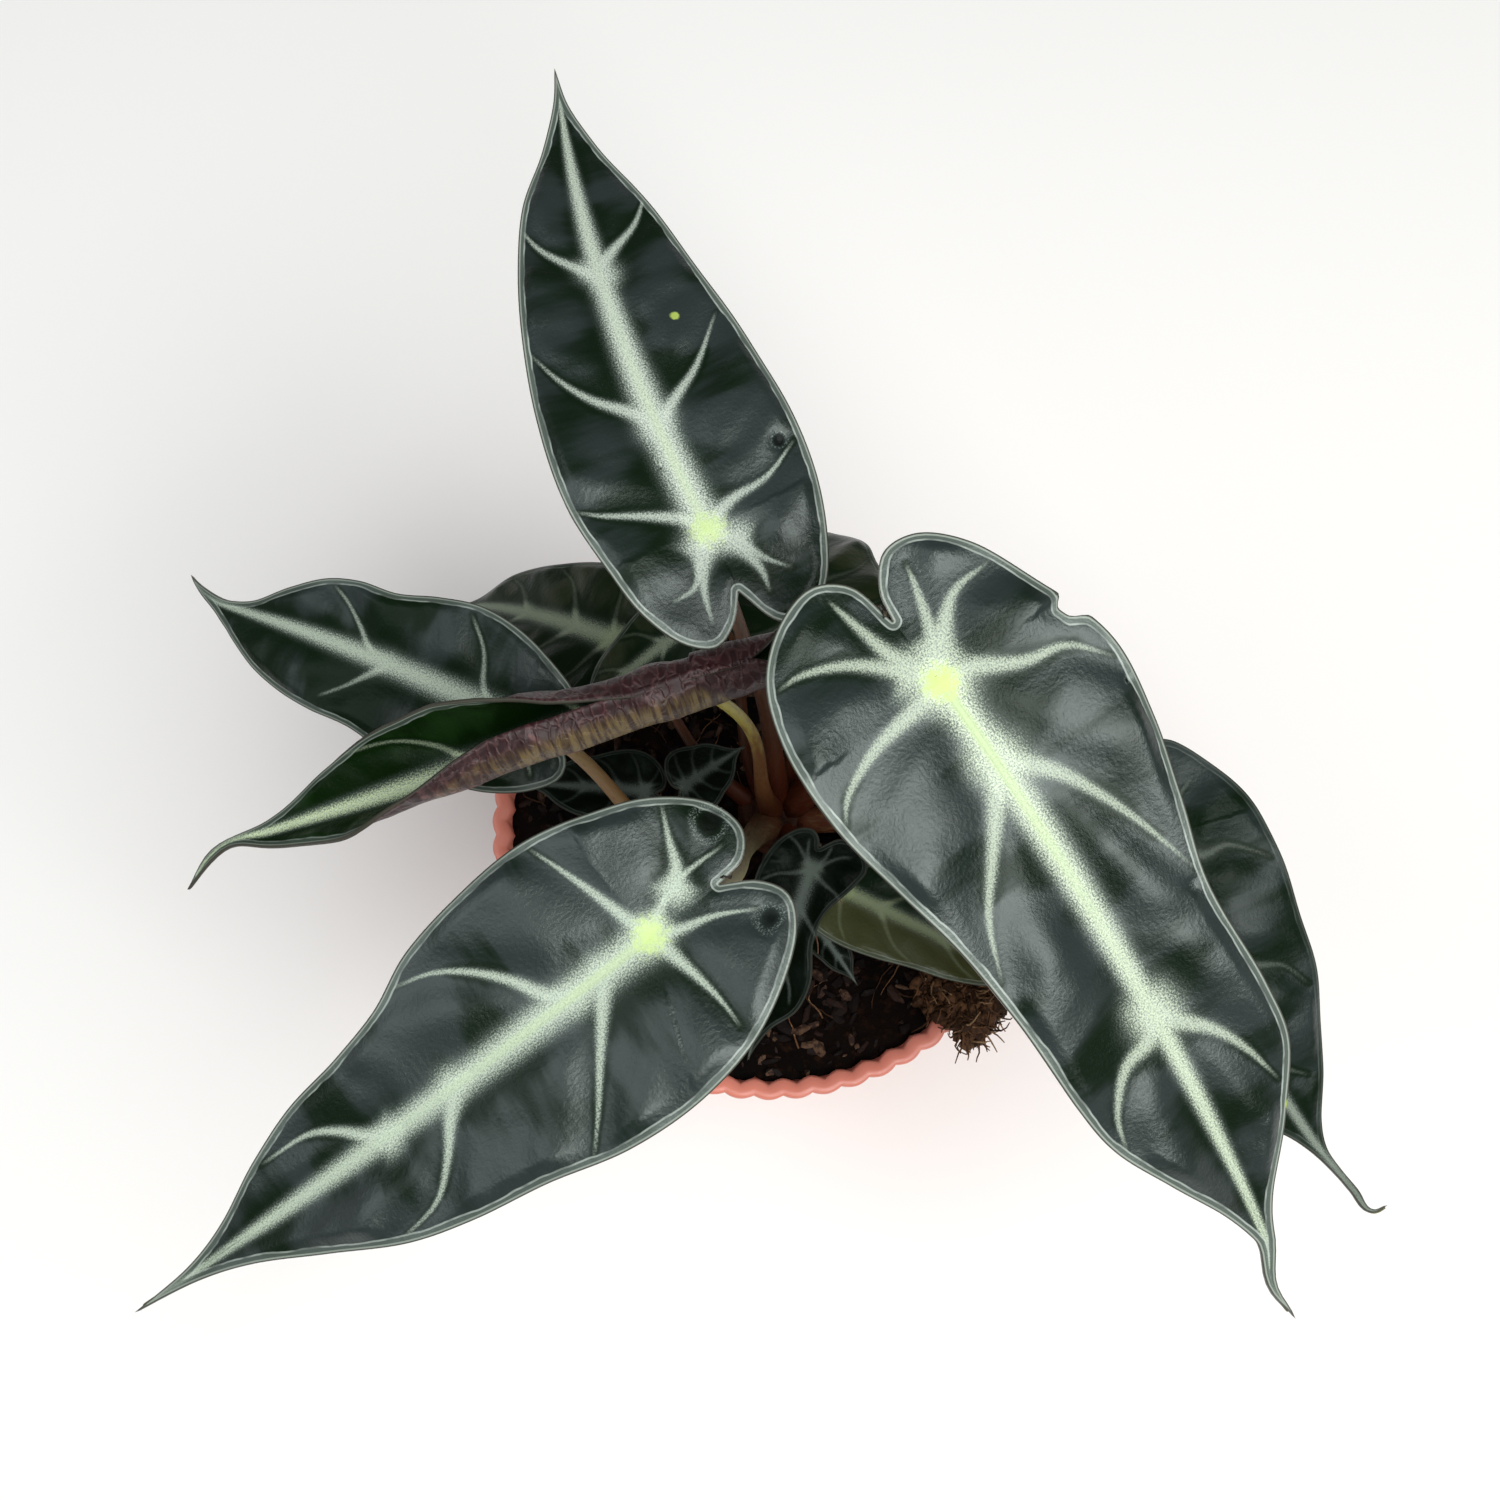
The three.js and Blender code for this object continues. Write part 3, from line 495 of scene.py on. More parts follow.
def petiole_finish(name, foot, middle, top):
    """Juicy stalk: its foot, middle and neck in three tones, mottled along its length."""
    stalk = Finish(name, "flat", Specular_IOR_Level=0.35, Subsurface_Weight=0.12, Subsurface_Scale=0.001)
    mottle = stalk.grain(1.1, 4, 0.6, stretch=(0.3, 1, 1))
    shifted = stalk.plus(stalk.read("reach"), stalk.step(mottle, 0.2, 0.8, -0.18, 0.18))
    colour = stalk.paint(stalk.step(shifted, 0.02, 0.3), foot, middle)
    colour = stalk.paint(stalk.step(shifted, 0.5, 0.95), colour, top)
    colour = stalk.paint(stalk.step(mottle, 0.5, 0.75, 0, 0.45), colour, foot)
    normal = stalk.bump(stalk.grain(2.2, 2, stretch=(0.06, 1, 1)), 0.0003, 0.4)
    return stalk.wear(Base_Color=colour, Roughness=stalk.step(mottle, 0.3, 0.7, 0.34, 0.5), Normal=normal)


def papery_finish():
    """Dry rust-red scale with fibres along it."""
    scale = Finish("dry_sheath", "flat", Specular_IOR_Level=0.25)
    fibres = scale.grain(1.8, 4, 0.6, stretch=(0.12, 1, 1))
    colour = scale.paint(scale.step(fibres, 0.3, 0.7), (0.16, 0.032, 0.016), (0.34, 0.12, 0.05))
    colour = scale.paint(scale.step(scale.grain(0.5, 3), 0.45, 0.7, 0, 0.7), colour, (0.07, 0.02, 0.012))
    roughness = scale.step(fibres, 0.3, 0.7, 0.55, 0.75)
    return scale.wear(Base_Color=colour, Roughness=roughness, Normal=scale.bump(fibres, 0.0004, 0.7))


# Pot, soil and fibre finishes, with grains to the metre

def pot_finish():
    """Salmon plastic with a soft gloss, faint flow marks and fine scuffs."""
    plastic = Finish(
        "salmon_plastic", "object", Specular_IOR_Level=0.5, Subsurface_Weight=0.15,
        Subsurface_Radius=(0.003, 0.0012, 0.001), Subsurface_Scale=1.0,
    )
    cloud, scuff = plastic.grain(25, 3), plastic.grain(700, 3, 0.7)
    flow = plastic.grain(60, 3, stretch=(1, 1, 0.15))
    colour = plastic.paint(plastic.step(cloud, 0.35, 0.65), (0.64, 0.21, 0.15), (0.7, 0.25, 0.19))
    colour = plastic.paint(plastic.step(flow, 0.55, 0.75, 0, 0.25), colour, (0.76, 0.34, 0.27))
    roughness = plastic.step(scuff, 0.35, 0.7, 0.34, 0.48)
    return plastic.wear(Base_Color=colour, Roughness=roughness, Normal=plastic.bump(scuff, 0.00004, 0.4))


def soil_finish_with_painted_shade():
    """Moist peat and bark: near black with reddish crumbs, made darker still as painted shade under the
    leaves.
    """
    soil = Finish("potting_soil", "object", Specular_IOR_Level=0.07)
    crumbs, patch = soil.grain(420, 5, 0.65), soil.grain(60, 3)
    # Painted shade: these ground colours are darker than the soil's own, for the shade under the leaves.
    colour = soil.paint(soil.step(patch, 0.35, 0.7), (0.0012, 0.0006, 0.0004), (0.0045, 0.0018, 0.001))
    colour = soil.paint(soil.step(crumbs, 0.5, 0.72, 0, 0.8), colour, (0.02, 0.008, 0.004))
    roughness = soil.step(crumbs, 0.3, 0.7, 0.75, 0.95)
    return soil.wear(Base_Color=colour, Roughness=roughness, Normal=soil.bump(crumbs, 0.0012, 0.9))


def crumb_finish(name, dark, middle, pale):
    """Bark chips and fibres: each keeps its own tone, which the attribute tone gives."""
    crumb = Finish(name, "object", Specular_IOR_Level=0.15)
    fleck = crumb.grain(900, 4, 0.65)
    mixed = crumb.plus(crumb.read("tone"), crumb.step(fleck, 0.3, 0.7, -0.2, 0.2))
    colour = crumb.paint(crumb.step(mixed, 0.1, 0.55), dark, middle)
    colour = crumb.paint(crumb.step(mixed, 0.7, 1.0), colour, pale)
    roughness = crumb.step(fleck, 0.3, 0.7, 0.6, 0.92)
    return crumb.wear(Base_Color=colour, Roughness=roughness, Normal=crumb.bump(fleck, 0.0003, 0.7))


# How much of each leaf is painted sheen depends on its patches threshold: a higher one paints less.
UPPER_SIDES = {
    "upper": {},
    "upper_back": {"veins": (0.59, 0.67, 0.57), "lime": 0.62, "sheen_patches": 0.37},
    "upper_front": {"veins": (0.5, 0.59, 0.47), "margin": 0.78, "lime": 0.75},
    "upper_side": {
        "veins": (0.47, 0.55, 0.44), "margin": 0.6, "shine": 0.5, "lime": 0.2, "sheen_patches": 0.48,
    },
    "upper_outer": {
        "veins": (0.4, 0.46, 0.38), "margin": 0.16, "shine": 0.38, "lime": 0.3, "sheen_patches": 0.38,
    },
    "upper_rear": {
        "deep": (0.006, 0.014, 0.005), "sheen_slate": (0.02, 0.027, 0.011), "veins": (0.45, 0.52, 0.34),
        "margin": 0.22, "shine": 0.25, "lime": 0.2, "sheen_patches": 0.46,
    },
    # Painted shade: the leaves deep under the others get a near-black ground and dim sheen, veins, margin
    # and junction for the shade they sit in.
    "upper_low": {
        "deep": (0.002, 0.004, 0.002), "sheen_slate": (0.004, 0.008, 0.005), "veins": FROST,
        "margin": 0.12, "shine": 0.2, "lime": 0.03, "sheen_patches": 0.5,
    },
    "upper_olive": {
        "deep": (0.005, 0.014, 0.005), "sheen_slate": (0.012, 0.024, 0.009), "veins": (0.3, 0.36, 0.16),
        "margin": 0.4, "shine": 0.5, "lime": 0.2, "olive_side": True,
    },
    "upper_young": {
        "deep": (0.002, 0.009, 0.001), "sheen_slate": (0.005, 0.02, 0.003), "veins": (0.55, 0.66, 0.4),
        "margin": 0.4, "shine": 0.35, "lime": 0.4, "sheen_patches": 0.5,
    },
}
LOWER_SIDES = {
    "lower": ((0.06, 0.045, 0.035), (0.2, 0.18, 0.11), (0.18, 0.18, 0.08), 0.6),
    "lower_young": ((0.03, 0.008, 0.01), (0.13, 0.06, 0.058), (0.125, 0.09, 0.034), 1, 5, True),
}
STALKS = {
    "petiole_tan": ((0.1, 0.03, 0.014), (0.24, 0.14, 0.055), (0.3, 0.22, 0.09)),
    "petiole_brown": ((0.07, 0.014, 0.005), (0.055, 0.02, 0.008), (0.14, 0.06, 0.022)),
    "petiole_pink": ((0.08, 0.018, 0.007), (0.13, 0.045, 0.016), (0.28, 0.17, 0.08)),
    "petiole_olive": ((0.1, 0.04, 0.018), (0.24, 0.21, 0.11), (0.3, 0.29, 0.16)),
    "petiole_young": ((0.09, 0.022, 0.008), (0.12, 0.05, 0.014), (0.32, 0.28, 0.05)),
    "rib_young": ((0.12, 0.1, 0.03), (0.07, 0.025, 0.022), (0.06, 0.02, 0.02)),
}
CRUMBS = {
    "bark_chips": ((0.004, 0.002, 0.0015), (0.02, 0.009, 0.006), (0.09, 0.05, 0.03)),
    "coir_fibre": ((0.03, 0.013, 0.006), (0.11, 0.052, 0.024), (0.27, 0.17, 0.09)),
    "crown_bark": ((0.016, 0.006, 0.004), (0.045, 0.016, 0.008), (0.09, 0.045, 0.02)),
}
FINISH = {key: upper_finish("leaf_" + key, **values) for key, values in UPPER_SIDES.items()}
FINISH |= {key: lower_finish("leaf_" + key, *values) for key, values in LOWER_SIDES.items()}
FINISH |= {key: petiole_finish(key, *tones) for key, tones in STALKS.items()}
FINISH |= {key: crumb_finish(key, *tones) for key, tones in CRUMBS.items()}
FINISH |= {"sheath": papery_finish(), "pot": pot_finish(), "soil": soil_finish_with_painted_shade()}


# Shapes

def new_object(name, bm, smooth=True):
    mesh = bpy.data.meshes.new(name)
    bm.to_mesh(mesh)
    bm.free()
    for face in mesh.polygons:
        face.use_smooth = smooth
    made = bpy.data.objects.new(name, mesh)
    bpy.context.scene.collection.objects.link(made)
    return made


def new_piece(name, bm, finishes, node=None, smooth=True):
    """Puts a shape in the scene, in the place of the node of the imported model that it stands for."""
    piece = new_object(name, bm, smooth)
    for finish in finishes:
        piece.data.materials.append(FINISH[finish])
    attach(piece, BODY)
    if node:
        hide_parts(node)
    return piece


def thicken(piece, millimetres):
    skin = piece.modifiers.new("thickness", "SOLIDIFY")
    skin.thickness = millimetres * MM
    return skin


def layered_bmesh():
    """An empty bmesh with what the finishes of tubes and chips read."""
    bm = bmesh.new()
    bm.verts.layers.float_vector.new("flat")
    bm.verts.layers.float.new("reach")
    bm.verts.layers.float.new("tone")
    return bm


def set_attribute(mesh, name, values, kind="FLOAT"):
    made = mesh.attributes.new(name, kind, "POINT")
    key = "vector" if kind == "FLOAT_VECTOR" else "value"
    made.data.foreach_set(key, np.asarray(values, np.float32).ravel())


def shaped_grid(name, columns, rows, places, attributes):
    """A square grid whose corners are moved to places, in millimetres, and merged where they meet."""
    bm = bmesh.new()
    bmesh.ops.create_grid(bm, x_segments=columns, y_segments=rows, size=1)
    mesh = bpy.data.meshes.new(name)
    bm.to_mesh(mesh)
    bm.free()
    mesh.vertices.foreach_set("co", (places * MM).astype(np.float32).ravel())
    for key, values in attributes.items():
        set_attribute(mesh, key, values, "FLOAT_VECTOR" if values.ndim == 2 else "FLOAT")
    bm = bmesh.new()
    bm.from_mesh(mesh)
    bpy.data.meshes.remove(mesh)
    bmesh.ops.remove_doubles(bm, verts=bm.verts, dist=1e-6)
    return bm


def grid_shares(columns, rows):
    """Share across from 1 to -1 and share down from 1 to 0 of each corner of a new grid."""
    across, down = np.meshgrid(np.linspace(1, -1, columns + 1), np.linspace(1, 0, rows + 1))
    return across.ravel(), down.ravel()


def smoothstep(value, low, high):
    share = np.clip((value - low) / (high - low), 0, 1)
    return share * share * (3 - 2 * share)


FINE_STEPS = 20


def smooth_line(points, count, even=False):
    """Points along a centripetal spline through the given ones, evenly spaced on request."""
    points = np.asarray(points, float)
    gaps = np.maximum(np.linalg.norm(np.diff(points, axis=0), axis=1), 1e-6) ** 0.5
    knots = np.concatenate([[0], np.cumsum(gaps)])
    ends = np.vstack([2 * points[0] - points[1], points, 2 * points[-1] - points[-2]])
    before = np.concatenate([gaps[:1], gaps])[:, None]
    after = np.concatenate([gaps, gaps[-1:]])[:, None]
    back, ahead = np.diff(ends[:-1], axis=0) / before, np.diff(ends[1:], axis=0) / after
    slopes = (back * after + ahead * before) / (before + after)
    places = np.linspace(0, knots[-1], FINE_STEPS * count if even else count)
    i = np.clip(np.searchsorted(knots, places, side="right") - 1, 0, len(points) - 2)
    width = gaps[i][:, None]
    u = ((places - knots[i]) / gaps[i])[:, None]
    line = (
        (2 * u**3 - 3 * u**2 + 1) * points[i] + (u**3 - 2 * u**2 + u) * width * slopes[i]
        + (3 * u**2 - 2 * u**3) * points[i + 1] + (u**3 - u**2) * width * slopes[i + 1]
    )
    if not even:
        return line
    run = np.concatenate([[0], np.cumsum(np.linalg.norm(np.diff(line, axis=0), axis=1))])
    wanted = np.linspace(0, run[-1], count)
    return np.stack([np.interp(wanted, run, line[:, k]) for k in range(line.shape[1])], -1)


def along_line(points, line):
    """For each point its distance to a line, and its place on it as a share of its corners."""
    nearest = np.full(len(points), np.inf)
    place = np.zeros(len(points))
    for i, (start, end) in enumerate(zip(line[:-1], line[1:])):
        step = end - start
        share = np.clip((points - start) @ step / max(step @ step, 1e-9), 0, 1)
        gap = np.hypot(*(points - start - share[:, None] * step).T)
        closer = gap < nearest
        nearest[closer] = gap[closer]
        place[closer] = (i + share[closer]) / (len(line) - 1)
    return nearest, place


def unit_vectors(azimuth, elevation):
    """Unit vectors from angles in radians."""
    level = np.cos(elevation)
    return np.stack([np.cos(azimuth) * level, np.sin(azimuth) * level, np.sin(elevation)], -1)


NOISE_CELLS = 63


def soft_noise(u, v, rng):
    """Smooth random heights from -1 to 1 that change over one unit of u or v."""
    table = rng.uniform(-1, 1, (NOISE_CELLS + 2, NOISE_CELLS + 2))
    u, v = u % NOISE_CELLS, v % NOISE_CELLS
    i, j = u.astype(int), v.astype(int)
    a, b = smoothstep(u - i, 0, 1), smoothstep(v - j, 0, 1)
    near = table[i, j] * (1 - a) + table[i + 1, j] * a
    far = table[i, j + 1] * (1 - a) + table[i + 1, j + 1] * a
    return near * (1 - b) + far * b


# Leaf geometry, as the solid blades have it

def fill_in(leaf):
    full = {
        "swing": 0, "hook": 0, "hook_from": 0.85, "sway": 0, "droop": 0, "roll": 0, "fold": 6,
        "curl": -8, "reach": 0.45, "pale": (1, 1), "marks": [], "nick": None, "upper": "upper",
        "lower": "lower", "skin": "petiole_tan", "bold": 1, "midrib": 1,
    }
    full |= leaf
    full.setdefault("ribs", full["skin"])
    full.setdefault("fold_tip", full["fold"])
    full.setdefault("rolls", [(0, full["curl"], full["curl"]), (1, full["curl"], full["curl"])])
    length, half = leaf["length"], leaf["half"]
    for side in ("left", "right"):
        full.setdefault(side, [(along * length, across * half) for along, across in PLAIN_SIDE])
        plain = [[(along * length, across * half) for along, across in vein] for vein in PLAIN_VEINS]
        full.setdefault(side + "_veins", plain)
    return full


def trace_midrib(leaf):
    """Point, forward, left and up at each step of the midrib, as four arrays."""
    share = np.linspace(0, 1, MIDRIB_STEPS + 1)
    tail = np.maximum(0, (share - leaf["hook_from"]) / (1 - leaf["hook_from"]))
    turn = leaf["swing"] * share + leaf["hook"] * tail + leaf["sway"] * np.sin(tau * tail)
    heading = np.radians(leaf["heading"] + turn)
    pitch = np.radians(leaf["pitch"] + leaf["droop"] * share)
    forward = unit_vectors(heading, pitch)
    level = np.stack([-np.sin(heading), np.cos(heading), 0 * heading], -1)
    roll = radians(leaf["roll"])
    left = level * cos(roll) + np.cross(forward, level) * sin(roll)
    up = np.cross(forward, left)
    steps = forward[:-1] * leaf["length"] / MIDRIB_STEPS
    point = np.vstack([np.zeros(3), np.cumsum(steps, axis=0)]) + np.array(leaf["at"])
    return point, forward, left, up


def bend_blade(leaf, midrib, along, across, off):
    """From flat leaf coordinates to space: along and across the midrib, and off the surface."""
    share = np.clip(along / leaf["length"], 0, 1)
    place = share * MIDRIB_STEPS
    low = np.minimum(place.astype(int), MIDRIB_STEPS - 1)
    mix = (place - low)[:, None]
    point, forward, left, up = (part[low] * (1 - mix) + part[low + 1] * mix for part in midrib)
    behind = np.minimum(along, 0)[:, None]
    point = point + behind * (forward * cos(LOBE_DIP) + up * sin(LOBE_DIP))
    fold = np.radians(leaf["fold"] + (leaf["fold_tip"] - leaf["fold"]) * share)
    stops, left_curl, right_curl = np.transpose(leaf["rolls"])
    curl = np.where(across < 0, np.interp(share, stops, right_curl), np.interp(share, stops, left_curl))
    curl = np.radians(curl) / leaf["half"]
    side = np.where(across < 0, -1, 1)
    lean = fold + curl * np.abs(across)
    outward = side * ((np.sin(lean) - np.sin(fold)) / curl - off * np.sin(lean))
    upward = (np.cos(fold) - np.cos(lean)) / curl + off * np.cos(lean)
    return point + outward[:, None] * left + upward[:, None] * up


def leaf_anchors(left, right, notch):
    """Where on the midrib each row starts, as in the solid blade."""
    start = (left[:, 0] + right[:, 0]) / 2 - VEIN_LEAN * (left[:, 1] + right[:, 1]) / 2
    turn = int(np.argmax(start <= 0))
    fan = max(len(start) - 1 - turn, 1)
    behind = notch * (np.arange(len(start)) - turn) / fan
    return np.where(np.arange(len(start)) < turn, start, behind)


VEIN_MERGE, FIELD_MERGE = 0.18, 1.3
MIDRIB_POINTS, VEIN_POINTS = 40, 14
MIDRIB_WIDTH, MIDRIB_END, MIDRIB_TIP = 0.115, 0.93, 0.18
VEIN_WIDTH, VEIN_BASE, BASE_REACH, VEIN_TIP, FINEST_VEIN = 0.035, 0.075, 0.13, 0.14, 0.3
BULGE, LUMPS, FURROWS, WRINKLES, MARGIN_RIPPLE, PIT_DEPTH = 0.055, 0.032, 0.017, 0.004, 0.014, 0.9
LARGEST_HALF, MARGIN_SCALING = 26, 0.4


def vein_lines(leaf):
    """The midrib and the side veins in flat coordinates, each with half widths and paleness."""
    half, length = leaf["half"], leaf["length"]
    midrib_pale, veins_pale = leaf["pale"]
    along = np.linspace(-1, 0.97 * length, MIDRIB_POINTS)
    taper = np.clip(1 - (np.abs(along) / (MIDRIB_END * length)) ** 1.5, 0, 1)
    width = MIDRIB_WIDTH * half * leaf["midrib"] * taper + MIDRIB_TIP
    yield np.stack([along, 0 * along], -1), width, midrib_pale * (1 - 0.3 * along / length)
    share = np.linspace(0, 1, VEIN_POINTS)
    width = half * (VEIN_WIDTH * (1 - share) + VEIN_BASE * np.exp(-share / BASE_REACH)) + VEIN_TIP
    width = np.maximum(leaf["bold"] * width, FINEST_VEIN)
    for side, sign in (("left", 1), ("right", -1)):
        for vein in leaf[side + "_veins"]:
            line = smooth_line(vein, VEIN_POINTS) * (1, sign)
            yield line, width, veins_pale * (1 - 0.5 * share) * (1 - smoothstep(share, 0.85, 1.02))


def vein_fields(leaf, flat):
    """Closeness to the veins (1 on one, 0 at its side), their paleness, and millimetres off them."""
    closeness, paleness, distance = [], [], []
    for line, widths, pale in vein_lines(leaf):
        gap, place = along_line(flat, line)
        stops = np.linspace(0, 1, len(line))
        width = np.interp(place, stops, widths)
        closeness.append(1 - gap / width)
        distance.append(np.maximum(gap - width, 0))
        paleness.append(np.interp(place, stops, pale) * smoothstep(closeness[-1], -1.6, 0.1))
    merged = VEIN_MERGE * np.log(np.sum(np.exp(np.maximum(closeness, -6) / VEIN_MERGE), axis=0))
    off = -FIELD_MERGE * np.log(np.sum(np.exp(-np.array(distance) / FIELD_MERGE), axis=0))
    return np.maximum(merged, -4), np.max(paleness, axis=0), np.maximum(off, 0)


def relief_of(leaf, along, across, gap, edge, seed):
    """Height of the tissue over the veins: a bulge in each field, soft lumps and fine wrinkles."""
    half = leaf["half"]
    rng = np.random.default_rng(seed)
    field = (1 - np.exp(-((gap / (0.17 * half)) ** 2))) * smoothstep(edge, 0, 0.15 * half)
    lean = (along - VEIN_LEAN * np.abs(across)) / half
    u, v = along / half, across / half
    height = BULGE + LUMPS * soft_noise(u / 0.42, v / 0.42, rng)
    height += FURROWS * soft_noise(lean / 0.2, v / 0.5, rng)
    height += WRINKLES * soft_noise(u / 0.13, v / 0.13, rng)
    ripple = np.sin(tau * u / 1.2 + np.where(across < 0, 1.7, 0) + rng.uniform(0, tau))
    height = height * field + MARGIN_RIPPLE * (1 - smoothstep(edge, 0, 0.35 * half)) * ripple
    return height * half * smoothstep(leaf["length"] - along, 0, 0.12 * leaf["length"])


def mark_field(leaf, along, across, seed):
    """Positive on bright spots and negative on pits, with an uneven outline."""
    mark, rng = 0 * along, np.random.default_rng(seed)
    for x, y, size, tone in leaf["marks"]:
        away = ((along - x) ** 2 + (across - y) ** 2) / size**2
        mark += tone * np.exp(-away * (1 + 0.6 * soft_noise(along / size + 9, across / size + 30, rng)))
    return mark


def leaf_places(leaf, rows, columns, seed):
    """Places and attributes for the corners of a blade's grid, rows from tip to notch."""
    across_share, down = grid_shares(columns, rows)
    left = smooth_line(leaf["left"], rows + 1, even=True)
    right = smooth_line(leaf["right"], rows + 1, even=True)
    anchors = leaf_anchors(left, right, leaf["left"][-1][0])
    if leaf["nick"]:
        place, reach, depth = leaf["nick"]
        left[:, 1] -= depth * np.exp(-(((left[:, 0] - place) / reach) ** 4)) * (left[:, 1] > depth)
    row = np.rint(down * rows).astype(int)
    on_right = across_share < 0
    margin = np.where(on_right[:, None], right[row], left[row])
    width = np.abs(across_share)
    along = anchors[row] * (1 - width) + margin[:, 0] * width
    across = margin[:, 1] * across_share
    flat = np.stack([along, across], -1)
    vein, pale, gap = vein_fields(leaf, flat)
    edge = np.zeros(len(flat))
    upright = np.stack([along, np.abs(across)], -1)
    for outline, here in ((left, ~on_right), (right, on_right)):
        edge[here] = along_line(upright[here], outline[np.linspace(0, rows, rows // 3).astype(int)])[0]
    edge = np.where((width == 1) | (row == 0) | (row == rows), 0, edge)
    mark = mark_field(leaf, along, across, seed)
    off = relief_of(leaf, along, across, gap, edge, seed) + PIT_DEPTH * np.minimum(mark, 0)
    places = bend_blade(leaf, trace_midrib(leaf), along, across, off)
    attributes = {
        "flat": np.column_stack([flat, np.zeros(len(flat))]),
        "vein": vein,
        "pale": pale,
        "edge": edge * (LARGEST_HALF / leaf["half"]) ** MARGIN_SCALING,
        "across": np.abs(across) + np.maximum(-along, 0),
        "away": np.hypot(along, across),
        "mark": mark,
    }
    return places, attributes


def make_blade(name, leaf, seed):
    spacing = LONG_SPACING if leaf["length"] > SHORT_LENGTH else SHORT_SPACING
    around = sum(np.linalg.norm(np.diff(np.array(leaf["left"]), axis=0), axis=1))
    rows = int(around / spacing)
    columns = 2 * int(leaf["half"] / spacing)
    places, attributes = leaf_places(leaf, rows, columns, seed)
    bm = shaped_grid(name, columns, rows, places, attributes)
    piece = new_piece("leaf_" + name, bm, [leaf["upper"], leaf["lower"]], "blade_" + name)
    skin = thicken(piece, SMALL_THICKNESS if leaf["half"] < SMALL_HALF else BLADE_THICKNESS)
    skin.offset = -1
    skin.material_offset = 1
    skin.material_offset_rim = 0


# Tubes: petioles, ribs and strands

PETIOLE_TAPER, PETIOLE_POINTS, PETIOLE_SIDES = 0.75, 40, 16
FOOT_SINK, FOOT_HANDLE, NECK_HANDLE, NECK_SINK = 1.5, 0.38, 0.34, 0.2
RIB_SIDES, RIB_END, RIB_SINK, MIDRIB_SHARE, VEIN_SHARE = 8, 0.1, 0.55, 0.72, 0.25


def add_tube(bm, line, radii, sides, tone=0.0):
    """Adds a closed round tube along a line of points in millimetres."""
    steps = len(line) - 1
    made = bmesh.ops.create_grid(bm, x_segments=sides, y_segments=steps, size=1)["verts"]
    tangents = np.gradient(line, axis=0)
    tangents /= np.linalg.norm(tangents, axis=1)[:, None]
    normal = Vector(tangents[0]).orthogonal().normalized()
    rings = []
    for tangent in tangents:
        tangent = Vector(tangent)
        normal = (normal - normal.dot(tangent) * tangent).normalized()
        rings.append((normal.copy(), tangent.cross(normal)))
    floats = bm.verts.layers.float
    flat, reach, shade = bm.verts.layers.float_vector["flat"], floats["reach"], floats["tone"]
    run = np.concatenate([[0], np.cumsum(np.linalg.norm(np.diff(line, axis=0), axis=1))])
    for vertex in made:
        turn = (vertex.co.x + 1) / 2 * tau
        i = round((vertex.co.y + 1) / 2 * steps)
        first, second = rings[i]
        vertex[flat] = (run[i], radii[i] * turn, 0)
        vertex[reach] = i / steps
        vertex[shade] = tone
        spoke = first * cos(turn) + second * sin(turn)
        vertex.co = (Vector(line[i]) + spoke * radii[i]) * MM
    bmesh.ops.remove_doubles(bm, verts=made, dist=1e-7)
    alive = [vertex for vertex in made if vertex.is_valid]
    ends = {edge for vertex in alive for edge in vertex.link_edges if edge.is_boundary}
    bmesh.ops.holes_fill(bm, edges=list(ends), sides=sides)


def petiole_line(leaf):
    """From inside the crown up to the underside of the blade at the junction."""
    crown = CROWNS[leaf["crown"]]
    outward = unit_vectors(*np.radians(leaf["rise"]))
    point, forward, _, up = (part[0] for part in trace_midrib(leaf))
    start = np.array(crown["at"]) + outward * (crown["radius"] - FOOT_SINK)
    arrive = up + leaf["reach"] * forward
    arrive /= np.linalg.norm(arrive)
    tilt = np.linalg.norm(np.cross(up, arrive))
    end = point - up * (NECK_SINK * BLADE_THICKNESS + PETIOLE_TAPER * leaf["stalk"] * tilt)
    span = np.linalg.norm(end - start)
    second, third = start + FOOT_HANDLE * span * outward, end - NECK_HANDLE * span * arrive
    t = np.linspace(0, 1, PETIOLE_POINTS)[:, None]
    return (
        (1 - t) ** 3 * start + 3 * (1 - t) ** 2 * t * second + 3 * (1 - t) * t**2 * third + t**3 * end
    )


def make_petiole(name, leaf):
    """A stalk that flares at its foot and thins towards the blade."""
    share = np.linspace(0, 1, PETIOLE_POINTS)
    radii = leaf["stalk"] * (1 + (PETIOLE_TAPER - 1) * share + (1 - share) ** 6)
    bm = layered_bmesh()
    add_tube(bm, petiole_line(leaf), radii, PETIOLE_SIDES)
    bmesh.ops.recalc_face_normals(bm, faces=bm.faces)
    new_piece("stalk_" + name, bm, [leaf["skin"]], "petiole_" + name)


def make_ribs(name, leaf):
    """Raised midrib and side veins on the underside, with their tops inside the blade."""
    bm = layered_bmesh()
    midrib = trace_midrib(leaf)
    for index, (line, *_) in enumerate(vein_lines(leaf)):
        line = line[:-2]
        thick = leaf["stalk"] * (VEIN_SHARE if index else MIDRIB_SHARE)
        radii = np.linspace(thick, RIB_END, len(line))
        depth = -RIB_SINK * BLADE_THICKNESS - radii
        add_tube(bm, bend_blade(leaf, midrib, line[:, 0], line[:, 1], depth), radii, RIB_SIDES)
    bmesh.ops.recalc_face_normals(bm, faces=bm.faces)
    new_piece("ribs_" + name, bm, [leaf["ribs"]])


# Pot

